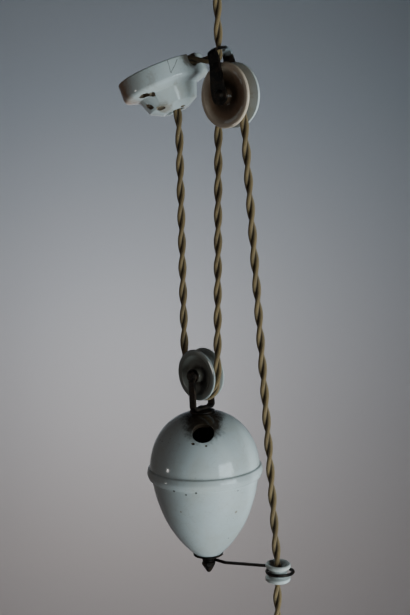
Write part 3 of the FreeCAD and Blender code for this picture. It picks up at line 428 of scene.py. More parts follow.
ROSE_GLAZE = porcelain("rose_glaze", tea=0.35, cream=0.45, patches=[
    ((-82.0, -36.0, -151.0), 30.0, 9.0, 0.85, (0.42, 0.23, 0.12)),
    # painted shade: the dark at the rim's right end, beside the fork and the upper wheel
    ((-24.0, -8.0, -126.0), 11.0, 4.0, 0.85, (0.09, 0.055, 0.03)),
    ((-40.0, -20.0, -168.0), 9.0, 5.0, 0.6, TEA),
], cracks=[
    ((-29.0, -27.0, -128.5), (-25.5, -26.5, -138.5)),
    ((-23.5, -21.0, -127.0), (-25.5, -26.5, -138.5)),
])
SPOOL_GLAZE = porcelain("spool_glaze", tea=0.4, cream=0.7, patches=[
    ((71.5, 0.0, -535.0), 9.5, 3.0, 0.75, SOOT_AND_SHADE),
])
IRON = rusted_iron("rusted_iron")
# the fork top's bright patches: bare rubbed metal and a painted highlight where its edges catch the light
FORK_IRON = rusted_iron("worn_and_lit_fork", worn_and_lit=[((2.0, 3.0, -118.5), 9.0, 3.0), ((5.5, 8.5, -121.5), 5.0, 2.0)])
BRASS = aged_brass("aged_brass")
SILK = silk("silk_braid")
LEAD = lead("lead_shot")


# ---------------- finishes of the solids
FINISHES = [
    (LEAD, ("lead_shot",)),
    (FORK_IRON, ("upper_fork",)),
    (BRASS, ("holder_cap", "holder_body", "grip", "screw_shell", "shade", "contact", "terminal")),
    (SILK, ("flex", "fall", "leads", "knot")),
    (PORCELAIN, ("wheel", "shell", "rose_cover", "rose_base", "spool", "insert")),
    (IRON, ("",)),
]


def dress_solids():
    """Give each solid the first finish with a word of its name, and ease the edges of the metal ones."""
    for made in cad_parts.values():
        finish = [paint for paint, words in FINISHES if any(word in made.name for word in words)][0]
        made.data.materials.clear()
        made.data.materials.append(finish)
        if finish in (IRON, FORK_IRON, BRASS):
            edge = made.modifiers.new("worn_edges", "BEVEL")
            edge.width = 0.3 * MM
            edge.segments = 2
            edge.limit_method = "ANGLE"
            edge.angle_limit = SHARP_EDGE
            edge.use_clamp_overlap = True


dress_solids()


# ---------------- meshes and geometry trees
def linked(name, data):
    """A new object in the scene."""
    made = bpy.data.objects.new(name, data)
    bpy.context.scene.collection.objects.link(made)
    return made


def settled_mesh(source):
    """The mesh of an object with its modifiers in it."""
    bpy.context.view_layer.update()
    graph = bpy.context.evaluated_depsgraph_get()
    return bpy.data.meshes.new_from_object(source.evaluated_get(graph), preserve_all_data_layers=True,
                                           depsgraph=graph)


def grown(name, source, tree, values):
    """The plain mesh that a geometry tree makes from a source object, which is then removed."""
    modifier = source.modifiers.new("grow", "NODES")
    modifier.node_group = tree
    sockets = {item.name: item.identifier for item in tree.interface.items_tree if item.in_out == "INPUT"}
    for label, value in values.items():
        modifier[sockets[label]] = value
    mesh = settled_mesh(source)
    mesh.name = name
    made = linked(name, mesh)
    bpy.data.objects.remove(source)
    return made


def scaled(where):
    """A matrix in mm made ready for a mesh in metres."""
    ready = where.copy()
    ready.translation = where.translation * MM
    return ready


def outward(mesh):
    """Point all faces outward and make the sharp edges look sharp."""
    form = bmesh.new()
    form.from_mesh(mesh)
    bmesh.ops.recalc_face_normals(form, faces=form.faces)
    form.to_mesh(mesh)
    form.free()
    mesh.set_sharp_from_angle(angle=SHARP_EDGE)


def cut(piece, cutters):
    """Take cutters out of a piece; the new faces keep the cutters' material."""
    for cutter in cutters:
        outward(cutter.data)
        modifier = piece.modifiers.new("cut", "BOOLEAN")
        modifier.operation = "DIFFERENCE"
        modifier.solver = "EXACT"
        modifier.material_mode = "TRANSFER"
        modifier.object = cutter
    mesh = settled_mesh(piece)
    piece.modifiers.clear()
    piece.data = mesh
    for cutter in cutters:
        bpy.data.objects.remove(cutter)


def lump(place, sizes, seed, rough=0.25):
    """A ragged lump to break a chip out with: sizes are its half lengths."""
    mesh = bpy.data.meshes.new("chip")
    form = bmesh.new()
    bmesh.ops.create_icosphere(form, subdivisions=4, radius=1.0)
    shift = Vector((seed * 3.7, seed * 1.3, seed * 2.1))
    for vertex in form.verts:
        coarse, fine = noise.noise(vertex.co * 2.2 + shift), noise.noise(vertex.co * 6.0 + shift)
        swell = 1 + rough * coarse + 0.5 * rough * fine
        vertex.co = (Vector(place) + Vector(a * b for a, b in zip(vertex.co, sizes)) * swell) * MM
    form.to_mesh(mesh)
    form.free()
    mesh.materials.append(BISCUIT)
    return linked("chip", mesh)


def finished(tree, geometry, given, out):
    """End a geometry tree: smooth, painted and real."""
    smooth = node(tree, "GeometryNodeSetShadeSmooth", {"Geometry": geometry})
    painted = node(tree, "GeometryNodeSetMaterial", {"Geometry": smooth.outputs[0],
                                                     "Material": given["Material"]})
    real = node(tree, "GeometryNodeRealizeInstances", {"Geometry": painted.outputs[0]})
    tree.links.new(real.outputs[0], out["Geometry"])
    return tree


# ---------------- turned pieces
def turned_form():
    """A geometry tree that turns an outline about Z, with rounded corners, unevenness, thread and ribs."""
    tree, given, out = node_group("GeometryNodeTree", "turned_form", [
        ("Geometry", GEOMETRY, None), ("Segments", WHOLE, 128), ("Closed", WHOLE, 1),
        ("Corner steps", WHOLE, 5), ("Unevenness", FLOAT, 0.0), ("Wave", FLOAT, 0.03), ("Seed", FLOAT, 0.0),
        ("Thread depth", FLOAT, 0.0), ("Thread pitch", FLOAT, 0.0036), ("Thread low", FLOAT, -1.0),
        ("Thread high", FLOAT, 1.0), ("Rib depth", FLOAT, 0.0), ("Ribs", WHOLE, 60),
        ("Rib radius", FLOAT, 1.0), ("Material", MATERIAL, None),
    ], [("Geometry", GEOMETRY)])
    rounding = maths(tree, "MULTIPLY", node(tree, "GeometryNodeInputRadius").outputs[0], MM)
    rounded = node(tree, "GeometryNodeFilletCurve", {
        "Curve": given["Geometry"], "Radius": rounding, "Limit Radius": True, "Count": given["Corner steps"],
    }, mode="POLY")
    size = node(tree, "GeometryNodeAttributeDomainSize", {0: rounded.outputs[0]}, component="CURVE")
    count = size.outputs["Point Count"]
    columns = maths(tree, "ADD", given["Segments"], 1.0)
    grid = node(tree, "GeometryNodeMeshGrid", {"Vertices X": maths(tree, "ADD", count, given["Closed"]),
                                               "Vertices Y": columns})
    index = node(tree, "GeometryNodeInputIndex").outputs[0]
    row = maths(tree, "FLOOR", maths(tree, "DIVIDE", maths(tree, "ADD", index, 0.5), columns))
    column = maths(tree, "SUBTRACT", index, maths(tree, "MULTIPLY", row, columns))
    place = node(tree, "GeometryNodeInputPosition").outputs[0]
    outline = node(tree, "GeometryNodeSampleIndex", {
        "Geometry": rounded.outputs[0], "Value": place, "Index": maths(tree, "MODULO", row, count),
    }, data_type="FLOAT_VECTOR", domain="POINT")
    corner = parts(tree, outline.outputs["Value"])
    angle = maths(tree, "MULTIPLY", maths(tree, "DIVIDE", column, given["Segments"]), math.tau)

    wound = maths(tree, "MULTIPLY", maths(tree, "DIVIDE", corner["Z"], given["Thread pitch"]), math.tau)
    wave = maths(tree, "SINE", maths(tree, "SUBTRACT", wound, angle))
    within = maths(tree, "MULTIPLY", maths(tree, "GREATER_THAN", corner["Z"], given["Thread low"]),
                   maths(tree, "LESS_THAN", corner["Z"], given["Thread high"]))
    thread = maths(tree, "MULTIPLY", maths(tree, "MULTIPLY", wave, given["Thread depth"]), within)
    ripple = maths(tree, "SINE", maths(tree, "MULTIPLY", angle, given["Ribs"]))
    outside = maths(tree, "GREATER_THAN", corner["X"], given["Rib radius"])
    ribs = maths(tree, "MULTIPLY", maths(tree, "MULTIPLY", ripple, given["Rib depth"]), outside)
    radius = maths(tree, "ADD", corner["X"], maths(tree, "ADD", thread, ribs))
    turned = node(tree, "ShaderNodeCombineXYZ", {
        "X": maths(tree, "MULTIPLY", radius, maths(tree, "COSINE", angle)),
        "Y": maths(tree, "MULTIPLY", radius, maths(tree, "SINE", angle)), "Z": corner["Z"]}).outputs[0]
    shaped = node(tree, "GeometryNodeSetPosition", {"Geometry": grid.outputs["Mesh"], "Position": turned})
    joined = node(tree, "GeometryNodeMergeByDistance", {"Geometry": shaped.outputs[0],
                                                        "Distance": 0.004 * MM})

    haze = node(tree, "ShaderNodeTexNoise", {
        "Vector": place, "W": given["Seed"], "Detail": 1.0,
        "Scale": maths(tree, "DIVIDE", 1.0, given["Wave"]),
    }, noise_dimensions="4D").outputs["Fac"]
    lift = maths(tree, "MULTIPLY", maths(tree, "SUBTRACT", haze, 0.5), given["Unevenness"])
    normal = node(tree, "GeometryNodeInputNormal").outputs[0]
    uneven = node(tree, "GeometryNodeSetPosition", {
        "Geometry": joined.outputs[0], "Offset": vector_maths(tree, "SCALE", normal, lift)})
    return finished(tree, uneven.outputs[0], given, out)


TURNED = turned_form()


def outline_curve(name, corners):
    """An outline of (radius, height, rounding) corners; a spline point's radius holds its rounding."""
    data = bpy.data.curves.new(name + "_outline", "CURVE")
    data.dimensions = "3D"
    spline = data.splines.new("POLY")
    spline.points.add(len(corners) - 1)
    for point, (radius, height, rounding) in zip(spline.points, corners):
        point.co = (radius * MM, 0.0, height * MM, 1.0)
        point.radius = rounding
    spline.use_cyclic_u = True
    return linked(name + "_outline", data)


def turned_piece(name, corners, where, material, body, slot, node_name=None, cutters=(), **settings):
    """A turned piece at its place: a matrix in mm from its own frame to the part's.

    Settings are the tree's own inputs, in metres.
    """
    values = {label.replace("_", " ").capitalize(): value for label, value in settings.items()}
    piece = grown(name, outline_curve(name, corners), TURNED, {"Material": material, **values})
    piece.data.transform(scaled(where))
    outward(piece.data)
    if cutters:
        cut(piece, cutters)
        outward(piece.data)
    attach(piece, body)
    if node_name:
        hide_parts(node_name)


AXLE_TURN = Matrix.Rotation(math.radians(90), 4, "X")
UPPER_PLACE = Matrix.Translation(UPPER_AXLE) @ AXLE_TURN
LOWER_PLACE = Matrix.Translation(LOWER_AXLE) @ AXLE_TURN
WEIGHT_PLACE = Matrix.Translation(LOWER_AXLE) @ Matrix.Rotation(-WEIGHT_LEAN, 4, "Y")
SPOOL_PLACE = Matrix.Translation(SPOOL)
HOLDER_PLACE = Matrix.Translation(HOLDER)


def rose_place():
    """The rose's own frame: back face at 0, hub towards its +Z."""
    leaning = RIGHT * math.tan(ROSE_TILTS[0]) + FRONT * math.tan(ROSE_TILTS[1])
    axis = (leaning - Vector((0, 0, 1))).normalized()
    first = (Vector((1, 0, 0)) - axis * axis.x).normalized()
    second = axis.cross(first)
    back = ROSE_EXIT - axis * (ROSE_HEIGHT + FLEX_D / 4) - first * ROSE_LEANS[0] - second * ROSE_LEANS[1]
    turn = Matrix((first, second, axis)).transposed().to_4x4()
    return Matrix.Translation(back) @ turn


ROSE_PLACE = rose_place()


def mirrored(side):
    """The mirror image of half an outline, in reverse."""
    return [(radius, -height, rounding) for radius, height, rounding in reversed(side)]


def wheel_outline(radius, width, seat_r, hub_width, dish_r, dish_depth):
    """Bore, hub, dished face, rounded rim and groove, then the mirror image of the first four."""
    half, half_groove = width / 2, 3.8
    floor = -half + dish_depth
    side = [(3.06, -hub_width / 2, 0.4), (6.0, -hub_width / 2, 1.3), (6.7, floor, 1.6),
            (dish_r - 3.0, floor, 5.0), (dish_r + 0.4, -half, 1.2), (radius, -half, 1.5),
            (radius, -4.9, 0.8), (seat_r, -half_groove, 0.0)]
    groove = [(seat_r - half_groove * math.cos(turn), half_groove * math.sin(turn), 0.0)
              for turn in map(math.radians, range(-78, 79, 12))]
    return side + groove + mirrored(side)


def eased(points, steps=5):
    """A smooth run through (radius, height) points."""
    ends = [points[0], *points, points[-1]]
    run = []
    for before, start, end, after in zip(ends, ends[1:], ends[2:], ends[3:]):
        for step in range(steps):
            t = step / steps
            run.append(tuple(0.5 * (2 * b + (c - a) * t + (2 * a - 5 * b + 4 * c - d) * t ** 2
                                    + (3 * b - a - 3 * c + d) * t ** 3)
                             for a, b, c, d in zip(before, start, end, after)))
    return run + [tuple(points[-1])]


def egg_run(inward):
    """The egg's outline from its top down to its bottom, moved in by a wall."""
    dome = [((EGG_R - inward) * math.sin(turn) ** DOME_POWER,
             -BEAD_DOWN + (DOME_HEIGHT - inward) * math.cos(turn) ** DOME_POWER, 0.0)
            for turn in (math.radians(2.0 + 88.0 * step / 22) for step in range(23))]
    belly = eased([(47.3, 0.0), (46.0, -5.5), (42.1, -24.0), (34.2, -45.0), (22.8, -62.5), (11.3, -74.5)])
    middle = Vector((0.0, -20.0))
    inner = []
    for radius, down in belly[1:]:
        way = (Vector((radius, down)) - middle).normalized() * inward
        inner.append((radius - way.x, -BEAD_DOWN + down - way.y, 0.0))
    return dome, inner


def filler_hole():
    """A cutter for the round filler hole with its eased lip, square to the dome."""
    out = Vector((math.cos(FILLER_TURN), math.sin(FILLER_TURN), 0))
    sine, cosine = math.sin(FILLER_TIP), math.cos(FILLER_TIP)
    up = -BEAD_DOWN + DOME_HEIGHT * cosine ** DOME_POWER
    mouth = out * (EGG_R * sine ** DOME_POWER) + Vector((0, 0, up))
    steep = 2 - DOME_POWER
    normal = (out * (sine ** steep / EGG_R) + Vector((0, 0, cosine ** steep / DOME_HEIGHT))).normalized()
    turn = Vector((0, 0, 1)).rotation_difference(normal).to_matrix().to_4x4()
    shape = [(0, -12, 0), (9, -12, 0), (9, -1.6, 2.2), (12.5, 2.6, 0), (0, 2.6, 0)]
    hole = grown("filler", outline_curve("filler", shape), TURNED,
                 {"Material": EGG_GLAZE, "Segments": 64, "Closed": 0})
    hole.data.transform(scaled(WEIGHT_PLACE @ Matrix.Translation(mouth) @ turn))
    return hole


def counterweight():
    """The hollow egg: dome, bead and belly, with its filler hole and small chips."""
    level = -BEAD_DOWN
    bead = [(47.0, level + 5.2, 0.7), (48.8, level + 4.6, 1.6), (50.0, level, 5.0), (48.4, level - 4.4, 1.6),
            (45.9, level - 5.4, 0.7)]
    dome, belly = egg_run(0.0)
    above = [corner for corner in dome if corner[1] > level + 6.5]
    below = [corner for corner in belly if corner[1] < level - 6.5]
    inner_dome, inner_belly = egg_run(EGG_WALL)
    inside = inner_dome + inner_belly
    outline = ([(TIE_ROD_R, above[0][1], 0.0)] + above[1:] + bead + below + [(TIE_ROD_R, below[-1][1], 0.0)]
               + [(TIE_ROD_R, inside[-1][1], 0.0)] + inside[::-1][:-1] + [(TIE_ROD_R, inside[0][1], 0.0)])
    chips = [
        lump((4.9, -32.3, -439.8), (1.7, 1.2, 0.9), 1),
        lump((13.9, -26.1, -440.9), (1.1, 0.9, 0.8), 2),
        lump((30.2, 23.2, -464.0), (2.8, 2.8, 3.6), 3),
    ]
    turned_piece("egg", outline, WEIGHT_PLACE, EGG_GLAZE, "counterweight", "porcelain",
                 "counterweight_shell", cutters=[filler_hole(), *chips], segments=160,
                 unevenness=0.0005, wave=0.045, seed=3.0)


def wheels():
    """The two grooved wheels, the upper one with its chipped rim, and the guide spool."""
    chips = []
    for turn, side, size in ((1.1, 7.6, (1.6, 0.9, 1.2)), (0.45, 7.6, (0.9, 0.8, 1.9)),
                             (-0.25, 7.7, (0.8, 0.7, 1.3)), (-0.75, 7.6, (1.3, 0.9, 1.4)),
                             (-1.2, -7.6, (1.5, 0.7, 0.9)), (2.6, -7.6, (0.9, 0.7, 1.5))):
        right, up = CHIPPED_R * math.cos(turn), CHIPPED_R * math.sin(turn)
        chips.append(lump(UPPER_AXLE + Vector((right, side, up)), size, 10 + turn))
    upper = wheel_outline(radius=26.0, width=15.0, seat_r=13.0, hub_width=19.0, dish_r=22.0, dish_depth=2.0)
    turned_piece("upper_wheel_turned", upper, UPPER_PLACE, UPPER_GLAZE, "upper_pulley", "porcelain",
                 "upper_wheel", cutters=chips, segments=128, unevenness=0.0004, wave=0.02, seed=1.0)
    lower = wheel_outline(radius=22.0, width=12.5, seat_r=19.6, hub_width=17.0, dish_r=16.5, dish_depth=3.2)
    turned_piece("lower_wheel_turned", lower, LOWER_PLACE, LOWER_GLAZE, "lower_pulley", "porcelain",
                 "lower_wheel", segments=128, unevenness=0.0004, wave=0.02, seed=2.0)
    half = [(4.6, 3.1, 0.5), (6.0, 4.4, 1.5), (8.0, 7.5, 1.2), (9.6, 7.5, 1.2), (10.4, 6.4, 1.2),
            (10.4, 4.4, 1.2), (7.4, 2.4, 0.8)]
    turned_piece("spool_turned", half + mirrored(half), SPOOL_PLACE, SPOOL_GLAZE, "guide_spool", "porcelain",
                 "guide_spool", segments=64, unevenness=0.0003, wave=0.01, seed=4.0)


def rose_notch():
    """A cutter for the supply flex's way through the rim: a slot with a round bottom."""
    way = (FEED_END - FEED_CORNER).normalized()
    aside = Vector((-way.y, way.x, 0))
    half, steps, high = FEED_HOLE_R, 16, 30.0
    bottom = [(half * math.cos(turn), -half * math.sin(turn))
              for turn in (math.pi * step / steps for step in range(steps + 1))]
    ring = [(half, high)] + bottom + [(-half, high)]
    mesh = bpy.data.meshes.new("notch")
    form = bmesh.new()
    first, second = ([form.verts.new((FEED_END + way * reach + aside * x + Vector((0, 0, z))) * MM)
                      for x, z in ring] for reach in (9.0, -19.0))
    for index in range(len(ring)):
        following = (index + 1) % len(ring)
        form.faces.new((first[index], first[following], second[following], second[index]))
    form.faces.new(first)
    form.faces.new(second)
    form.to_mesh(mesh)
    form.free()
    mesh.materials.append(BISCUIT)
    return linked("notch", mesh)


def rose_cover():
    """The hollow rose with its stepped hub, the slot in its rim and its broken edges."""
    outline = [(37.2, 0.0, 1.3), (37.2, 16.2, 4.0), (25.5, 19.5, 1.6), (20.8, 31.5, 1.3), (11.5, 36.4, 2.0),
               (7.8, 36.4, 1.0), (7.8, 32.4, 0.6), (16.8, 29.5, 2.0), (21.5, 15.5, 1.0), (31.4, 13.0, 3.0),
               (33.2, 11.0, 2.0), (33.2, 0.0, 1.0)]
    chips = [
        lump((-49.6, -33.4, -156.2), (6.6, 4.0, 3.4), 4),
        lump((-44.4, -30.4, -155.6), (4.0, 2.8, 2.8), 5),
        lump((-41.5, -22.2, -167.2), (5.2, 3.2, 2.4), 6),
        lump((-52.0, -26.4, -166.2), (4.6, 2.8, 2.8), 7),
        lump((-34.4, -4.4, -165.4), (1.6, 2.6, 1.3), 8),
        lump((-27.8, -15.5, -122.6), (3.0, 3.0, 1.5), 9),
    ]
    turned_piece("rose_turned", outline, ROSE_PLACE, ROSE_GLAZE, "head", "porcelain", "rose_cover",
                 cutters=[rose_notch(), *chips], segments=144, unevenness=0.0006, wave=0.03, seed=5.0)


def upright_run(radius, low, high, step=0.3):
    """Points up a straight side, close enough together to carry a thread."""
    count = round(abs(high - low) / step)
    return [(radius, low + (high - low) * index / count, 0.0) for index in range(count + 1)]


def brass_piece(name, node_name, outline, **settings):
    """A turned piece of the lampholder."""
    turned_piece(name, outline, HOLDER_PLACE, BRASS, "lamp", "brass", node_name, **settings)


def lamp_end():
    """The lampholder's brass pieces, from the flex down."""
    grip = [(3.8, 0, 0.4), (5.5, 0, 0.9), (7.5, -3, 1.0), (7.5, -12, 0.7), (5.6, -12, 0.3), (5.6, -16, 0.3),
            (3.8, -16, 0.3)]
    brass_piece("grip_turned", "cord_grip", grip, segments=192, ribs=24, rib_depth=0.0003, rib_radius=0.0070)
    cap = [(5.65, -12.05, 0.2), (8.5, -12.05, 0.8), (14.2, -15, 3.0), (17.6, -20, 4.0), (19.6, -24, 3.0),
           (19.6, -29.4, 0.3), (20.0, -29.9, 0.4), (20.0, -31.4, 0.4), (19.6, -32, 0.2), (18.6, -32, 0.2),
           (18.6, -25, 2.0), (16.6, -21, 3.0), (13.2, -16, 2.0), (5.65, -13.05, 0.2)]
    brass_piece("cap_turned", "holder_cap", cap, unevenness=0.0001, wave=0.02)
    body = ([(19.6, -32.05, 0.2), (19.6, -34.9, 0.1)] + upright_run(19.42, -35.2, -60.0, 0.25)
            + [(19.6, -60.3, 0.1), (19.6, -64.05, 0.4), (18.6, -64.05, 0.3), (18.6, -32.05, 0.2)])
    brass_piece("body_turned", "holder_body", body, segments=96, corner_steps=3, thread_depth=0.00014,
                thread_pitch=0.0018, thread_low=-0.0598, thread_high=-0.0354)
    shell = ([(18.5, -36.55, 0.1), (18.5, -37.25, 0.1), (14.2, -37.25, 0.3)] + upright_run(13.8, -38.0, -60.0)
             + [(13.95, -60.55, 0.1), (13.55, -60.55, 0.1)] + upright_run(13.45, -60.0, -38.0)
             + [(13.5, -36.55, 0.2)])
    brass_piece("screw_shell_turned", "lamp_screw_shell", shell, segments=96, corner_steps=2,
                thread_depth=0.0003, thread_pitch=0.0036, thread_low=-0.0600, thread_high=-0.0380)
    flange = [(19.65, -32.05, 0.2), (26.2, -32.05, 1.0), (27.0, -32.9, 0.6), (27.0, -34.55, 0.4),
              (19.65, -34.55, 0.2)]
    brass_piece("flange_turned", "shade_flange", flange)
    ring = [(19.65, -38.55, 0.2), (27.0, -38.55, 0.5), (27.0, -41.05, 0.5), (19.65, -41.05, 0.2)]
    brass_piece("shade_ring_turned", "shade_ring", ring, segments=360, corner_steps=3, ribs=60,
                rib_depth=0.00025, rib_radius=0.0262)


def screw_thread():
    """The thread and point of the ceiling hook's screw, round the plain shank."""
    thread = [(0, 3.0, 0)] + upright_run(2.95, 3.0, 26.0, 0.2) + [(0.3, 32.8, 0), (0, 33.0, 0)]
    turned_piece("screw_thread", thread, Matrix.Identity(4), IRON, "ceiling", "iron", segments=48,
                 closed=0, corner_steps=1, thread_depth=0.0003, thread_pitch=0.0024, thread_low=0.003,
                 thread_high=0.027)


counterweight()
wheels()
rose_cover()
lamp_end()
screw_thread()


# ---------------- the twisted flex
def stored(tree, geometry, label, value, kind="FLOAT"):
    """A geometry with a value stored at each of its points."""
    inputs = {"Geometry": geometry, "Name": label, "Value": value}
    return node(tree, "GeometryNodeStoreNamedAttribute", inputs, data_type=kind, domain="POINT").outputs[0]


def twisted_pair():
    """A geometry tree that lays two strands in a helix round a route."""
    tree, given, out = node_group("GeometryNodeTree", "twisted_pair", [
        ("Geometry", GEOMETRY, None), ("Strand radius", FLOAT, STRAND_R * MM),
        ("Twist radius", FLOAT, TWIST_R * MM), ("Lay", FLOAT, LAY * MM), ("Start turn", FLOAT, 0.0),
        ("Step", FLOAT, 0.0011), ("Sides", WHOLE, 14), ("Material", MATERIAL, None),
    ], [("Geometry", GEOMETRY)])
    even = node(tree, "GeometryNodeResampleCurve", {"Curve": given["Geometry"], "Length": given["Step"]},
                mode="LENGTH")
    place = node(tree, "GeometryNodeInputPosition").outputs[0]
    length = node(tree, "GeometryNodeSplineParameter").outputs["Length"]
    route = stored(tree, stored(tree, even.outputs[0], "along", length), "middle", place, "FLOAT_VECTOR")
    normal = node(tree, "GeometryNodeInputNormal").outputs[0]
    side = vector_maths(tree, "CROSS_PRODUCT", node(tree, "GeometryNodeInputTangent").outputs[0], normal)
    wound = maths(tree, "MULTIPLY", maths(tree, "DIVIDE", length, given["Lay"]), math.tau)
    turn = maths(tree, "ADD", given["Start turn"], wound)

    circle = node(tree, "GeometryNodeCurvePrimitiveCircle", {"Resolution": given["Sides"],
                                                             "Radius": given["Strand radius"]})
    profile = stored(tree, circle.outputs["Curve"], "around", place, "FLOAT_VECTOR")
    strands = node(tree, "GeometryNodeJoinGeometry")
    for half in (0.0, math.pi):
        angle = maths(tree, "ADD", turn, half)
        across = vector_maths(tree, "SCALE", normal, maths(tree, "COSINE", angle))
        aside = vector_maths(tree, "SCALE", side, maths(tree, "SINE", angle))
        offset = vector_maths(tree, "SCALE", vector_maths(tree, "ADD", across, aside), given["Twist radius"])
        strand = node(tree, "GeometryNodeSetPosition", {"Geometry": route, "Offset": offset})
        tube = node(tree, "GeometryNodeCurveToMesh", {"Curve": strand.outputs[0], "Profile Curve": profile,
                                                      "Fill Caps": True})
        tree.links.new(tube.outputs[0], strands.inputs[0])
    core = node(tree, "GeometryNodeInputNamedAttribute", {"Name": "middle"}, data_type="FLOAT_VECTOR")
    outness = measure(tree, "DISTANCE", place, core.outputs[0])
    return finished(tree, stored(tree, strands.outputs[0], "outness", outness), given, out)


def route_curve(name, points):
    """A smooth route through the part: a NURBS spline whose control points are the route's own."""
    data = bpy.data.curves.new(name + "_route", "CURVE")
    data.dimensions = "3D"
    data.resolution_u = 24
    spline = data.splines.new("NURBS")
    spline.points.add(len(points) - 1)
    for control, point in zip(spline.points, points):
        control.co = (*(Vector(point) * MM), 1.0)
    spline.order_u = 3
    spline.use_endpoint_u = True
    return linked(name + "_route", data)


def route_length(curve):
    """The route's length, read from its spline."""
    graph = bpy.context.evaluated_depsgraph_get()
    mesh = bpy.data.meshes.new_from_object(curve.evaluated_get(graph))
    places = [vertex.co.copy() for vertex in mesh.vertices]
    bpy.data.meshes.remove(mesh)
    return sum((b - a).length for a, b in zip(places, places[1:]))


# name: control points, then the body, or the pair of bodies that the stretch runs between
ABOVE_GUIDE = (70.26, 0, -530.5)
STRETCHES = {
    "flex_loop": ([(0, 6.8, -61), (0, 6.8, -39.1), (0, 2.8, -35.2), (0, -2.8, -35.2), (0, -6.8, -39.1),
                   (0, -6.8, -61)], ["head"]),
    "supply_flex": ([(0, 0, -74.3), (1.9, 0, -116), (2.3, 0, -128), (-9, -2.36, -128), (-36, -8, -128)],
                    ["head"]),
    "fall_left": ([(-47.2, -1.2, -163.4), (-44.2, 0, -170.5), (-43.0, 0, -212), (-39.0, 0, -349),
                   (-37.8, 0, -390.6)], ["head", "counterweight"]),
    "flex_under_lower_wheel": ([(-37.8, 0, -390.6), (-37.6, 0, -398.6), (-26.0, 0, -409.7), (-9.9, 0, -409.5),
                                (1.4, 0, -398.1), (1.4, 0, -390.1)], ["counterweight"]),
    "fall_middle": ([(1.4, 0, -390.1), (1.5, 0, -348), (1.9, 0, -198), (2.0, 0, -156)],
                    ["counterweight", "head"]),
    "flex_over_upper_wheel": ([(2.0, 0, -156), (2.0, 0, -150.8), (9.1, 0, -143.3), (19.5, 0, -142.7),
                               (27.3, 0, -149.4), (27.9, 0, -154.5)], ["head"]),
    "fall_right": ([(27.9, 0, -154.5), (32.6, 0, -196.3), (65.6, 0, -488.8), ABOVE_GUIDE],
                   ["head", "counterweight"]),
    "lamp_flex": ([ABOVE_GUIDE, (71.5, 0, -541.5), (71.5, 0, -599)], ["counterweight", "lamp"]),
}
KNOT_RUNS = {
    "knot_turn": [(0, -6.8, -61), (-1.5, -7.5, -66), (6, -6, -70), (8.5, 1, -68), (5, 8, -65.5), (-4, 8, -65),
                  (-8.5, 1, -67), (-6, -6, -71), (2, -4.5, -74), (0, 0, -78)],
    "knot_tail": [(0, 6.8, -61), (0, 5.5, -66), (-1.5, 0.5, -70), (0, 0, -78)],
}


def lay_flex():
    """The flex from hook to lampholder, its twist running on from stretch to stretch, and its knot."""
    tree = twisted_pair()
    turned = 0.0
    for name, (points, bodies) in STRETCHES.items():
        curve = route_curve(name, points)
        length = route_length(curve)
        piece = grown(name + "_strands", curve, tree, {"Start turn": turned, "Material": SILK})
        turned = (turned + length / (LAY * MM) * math.tau) % math.tau
        if len(bodies) == 1:
            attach(piece, bodies[0])
        else:
            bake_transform(piece)
        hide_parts(name)
    for name, points in KNOT_RUNS.items():
        piece = grown(name, route_curve(name, points), tree, {"Material": SILK})
        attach(piece, "head")
        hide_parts("flex_knot")


lay_flex()


# ---------------- stage, light and camera
CAMERA_PLACE = Vector((0.6866, -0.7000, -0.1446))
CAMERA_DIP = math.radians(10.7)
CAMERA_FRAME = 36.0
PHOTO_HEIGHT = 615.0      # pixels
PHOTO_FOCUS = 1200.0      # the lens's distance in those pixels
CAMERA_LENS = CAMERA_FRAME * PHOTO_FOCUS / PHOTO_HEIGHT
PAINTED_LIGHT_MIDDLE = (-2.26, 1.85, -1.08)
LIT_PLACE = Vector((0.01, 0, -0.36))
SKY = (0.76, 0.93, 1.0)


def compass(bearing, rise):
    """A direction: a bearing from -Y towards +X, lifted by an angle."""
    return Vector((math.sin(bearing) * math.cos(rise), -math.cos(bearing) * math.cos(rise), math.sin(rise)))


def turned_to(made, place, turn):
    """Stand a camera or a light at a place."""
    made.location = place
    made.rotation_mode = "QUATERNION"
    made.rotation_quaternion = turn


def stand_camera():
    """The camera at the photograph's place and angle."""
    data = bpy.data.cameras.new("camera")
    data.sensor_width = CAMERA_FRAME
    data.lens = CAMERA_LENS
    data.clip_start = 0.01
    data.clip_end = 50.0
    made = linked("camera", data)
    turned_to(made, CAMERA_PLACE, (-compass(VIEW_TURN, CAMERA_DIP)).to_track_quat("-Z", "Y"))
    bpy.context.scene.camera = made


def backdrop_paper():
    """Grey paper with a painted pool of light: it darkens away from a pale middle, warmer below and cooler
    above.
    """
    material, tree, shader, place = new_material("backdrop_paper")
    moved = vector_maths(tree, "SUBTRACT", place, PAINTED_LIGHT_MIDDLE)
    spread = vector_maths(tree, "MULTIPLY", moved, (0.95, 0.95, 0.98))
    away = measure(tree, "DOT_PRODUCT", spread, spread)
    # painted pool of light: bright at the middle, falling off away from it
    fade = maths(tree, "DIVIDE", 1.0, maths(tree, "MULTIPLY_ADD", away, 1.9, 1.0))
    tint = mix(tree, ramp(tree, parts(tree, place)["Z"], -1.7, -0.2), (0.85, 0.70, 0.65), (0.68, 0.68, 0.73))
    fill(tree, shader, {"Base Color": mix(tree, fade, (0.05, 0.05, 0.055), tint), "Roughness": 0.95})
    return material


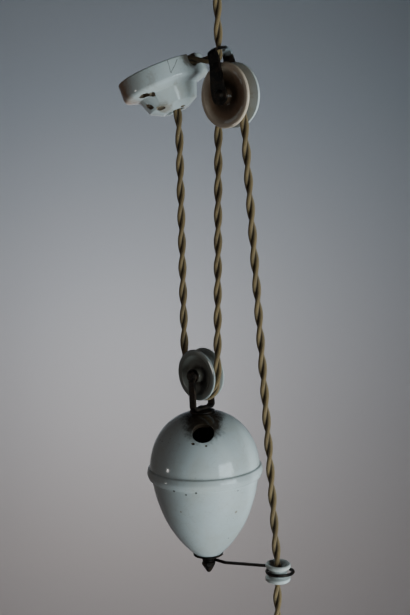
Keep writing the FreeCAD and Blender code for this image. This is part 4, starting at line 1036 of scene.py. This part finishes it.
def set_stage():
    """A pale floor that curves up into a plain wall behind the part."""
    near_end, reach, bend, side = -3.5, 2.0, 0.9, 5.0
    floor, high, steps = -2.1, 3.0, 24
    profile = [(near_end, floor)]
    for step in range(steps + 1):
        angle = math.pi / 2 * step / steps
        profile.append((reach + bend * math.sin(angle), floor + bend * (1 - math.cos(angle))))
    profile.append((reach + bend, high))
    places = [RIGHT * aside - FRONT * far + Vector((0, 0, up))
              for far, up in profile for aside in (-side, side)]
    faces = [(2 * i, 2 * i + 1, 2 * i + 3, 2 * i + 2) for i in range(len(profile) - 1)]
    mesh = bpy.data.meshes.new("backdrop")
    mesh.from_pydata(places, [], faces)
    mesh.shade_smooth()
    mesh.materials.append(backdrop_paper())
    made = linked("backdrop", mesh)
    return made


def soft_light(name, bearing, height, distance, size, power, colour):
    """A rectangular light seen from the part at a bearing and a height in degrees."""
    data = bpy.data.lights.new(name, "AREA")
    data.shape = "RECTANGLE"
    data.size, data.size_y = size
    data.energy = power
    data.color = colour
    made = linked(name, data)
    way = compass(math.radians(bearing), math.radians(height))
    turned_to(made, LIT_PLACE + way * distance, way.to_track_quat("Z", "Y"))
    return made


def set_lights(backdrop):
    """A window on the right with the sky below it, a glint on the left, and a light for the paper alone."""
    soft_light("window", 91, 0, 1.9, (1.15, 0.80), 18, SKY)
    soft_light("low_sky", 105, -29, 1.7, (1.5, 1.1), 33, SKY).visible_glossy = False
    soft_light("left_glint", -36, -10, 1.6, (0.07, 0.12), 1.2, (1.0, 0.97, 0.92))
    wash = soft_light("wall_wash", 150, 34, 1.6, (1.6, 1.2), 66, (0.95, 0.96, 1.0))
    lit = bpy.data.collections.new("lit_by_the_wash")
    lit.objects.link(backdrop)
    wash.light_linking.receiver_collection = lit
    world = bpy.data.worlds.new("room")
    world.use_nodes = True
    tree = world.node_tree
    fill(tree, tree.nodes["Background"], {"Color": (0.20, 0.20, 0.21, 1), "Strength": 0.15})
    bpy.context.scene.world = world


stand_camera()
set_lights(set_stage())
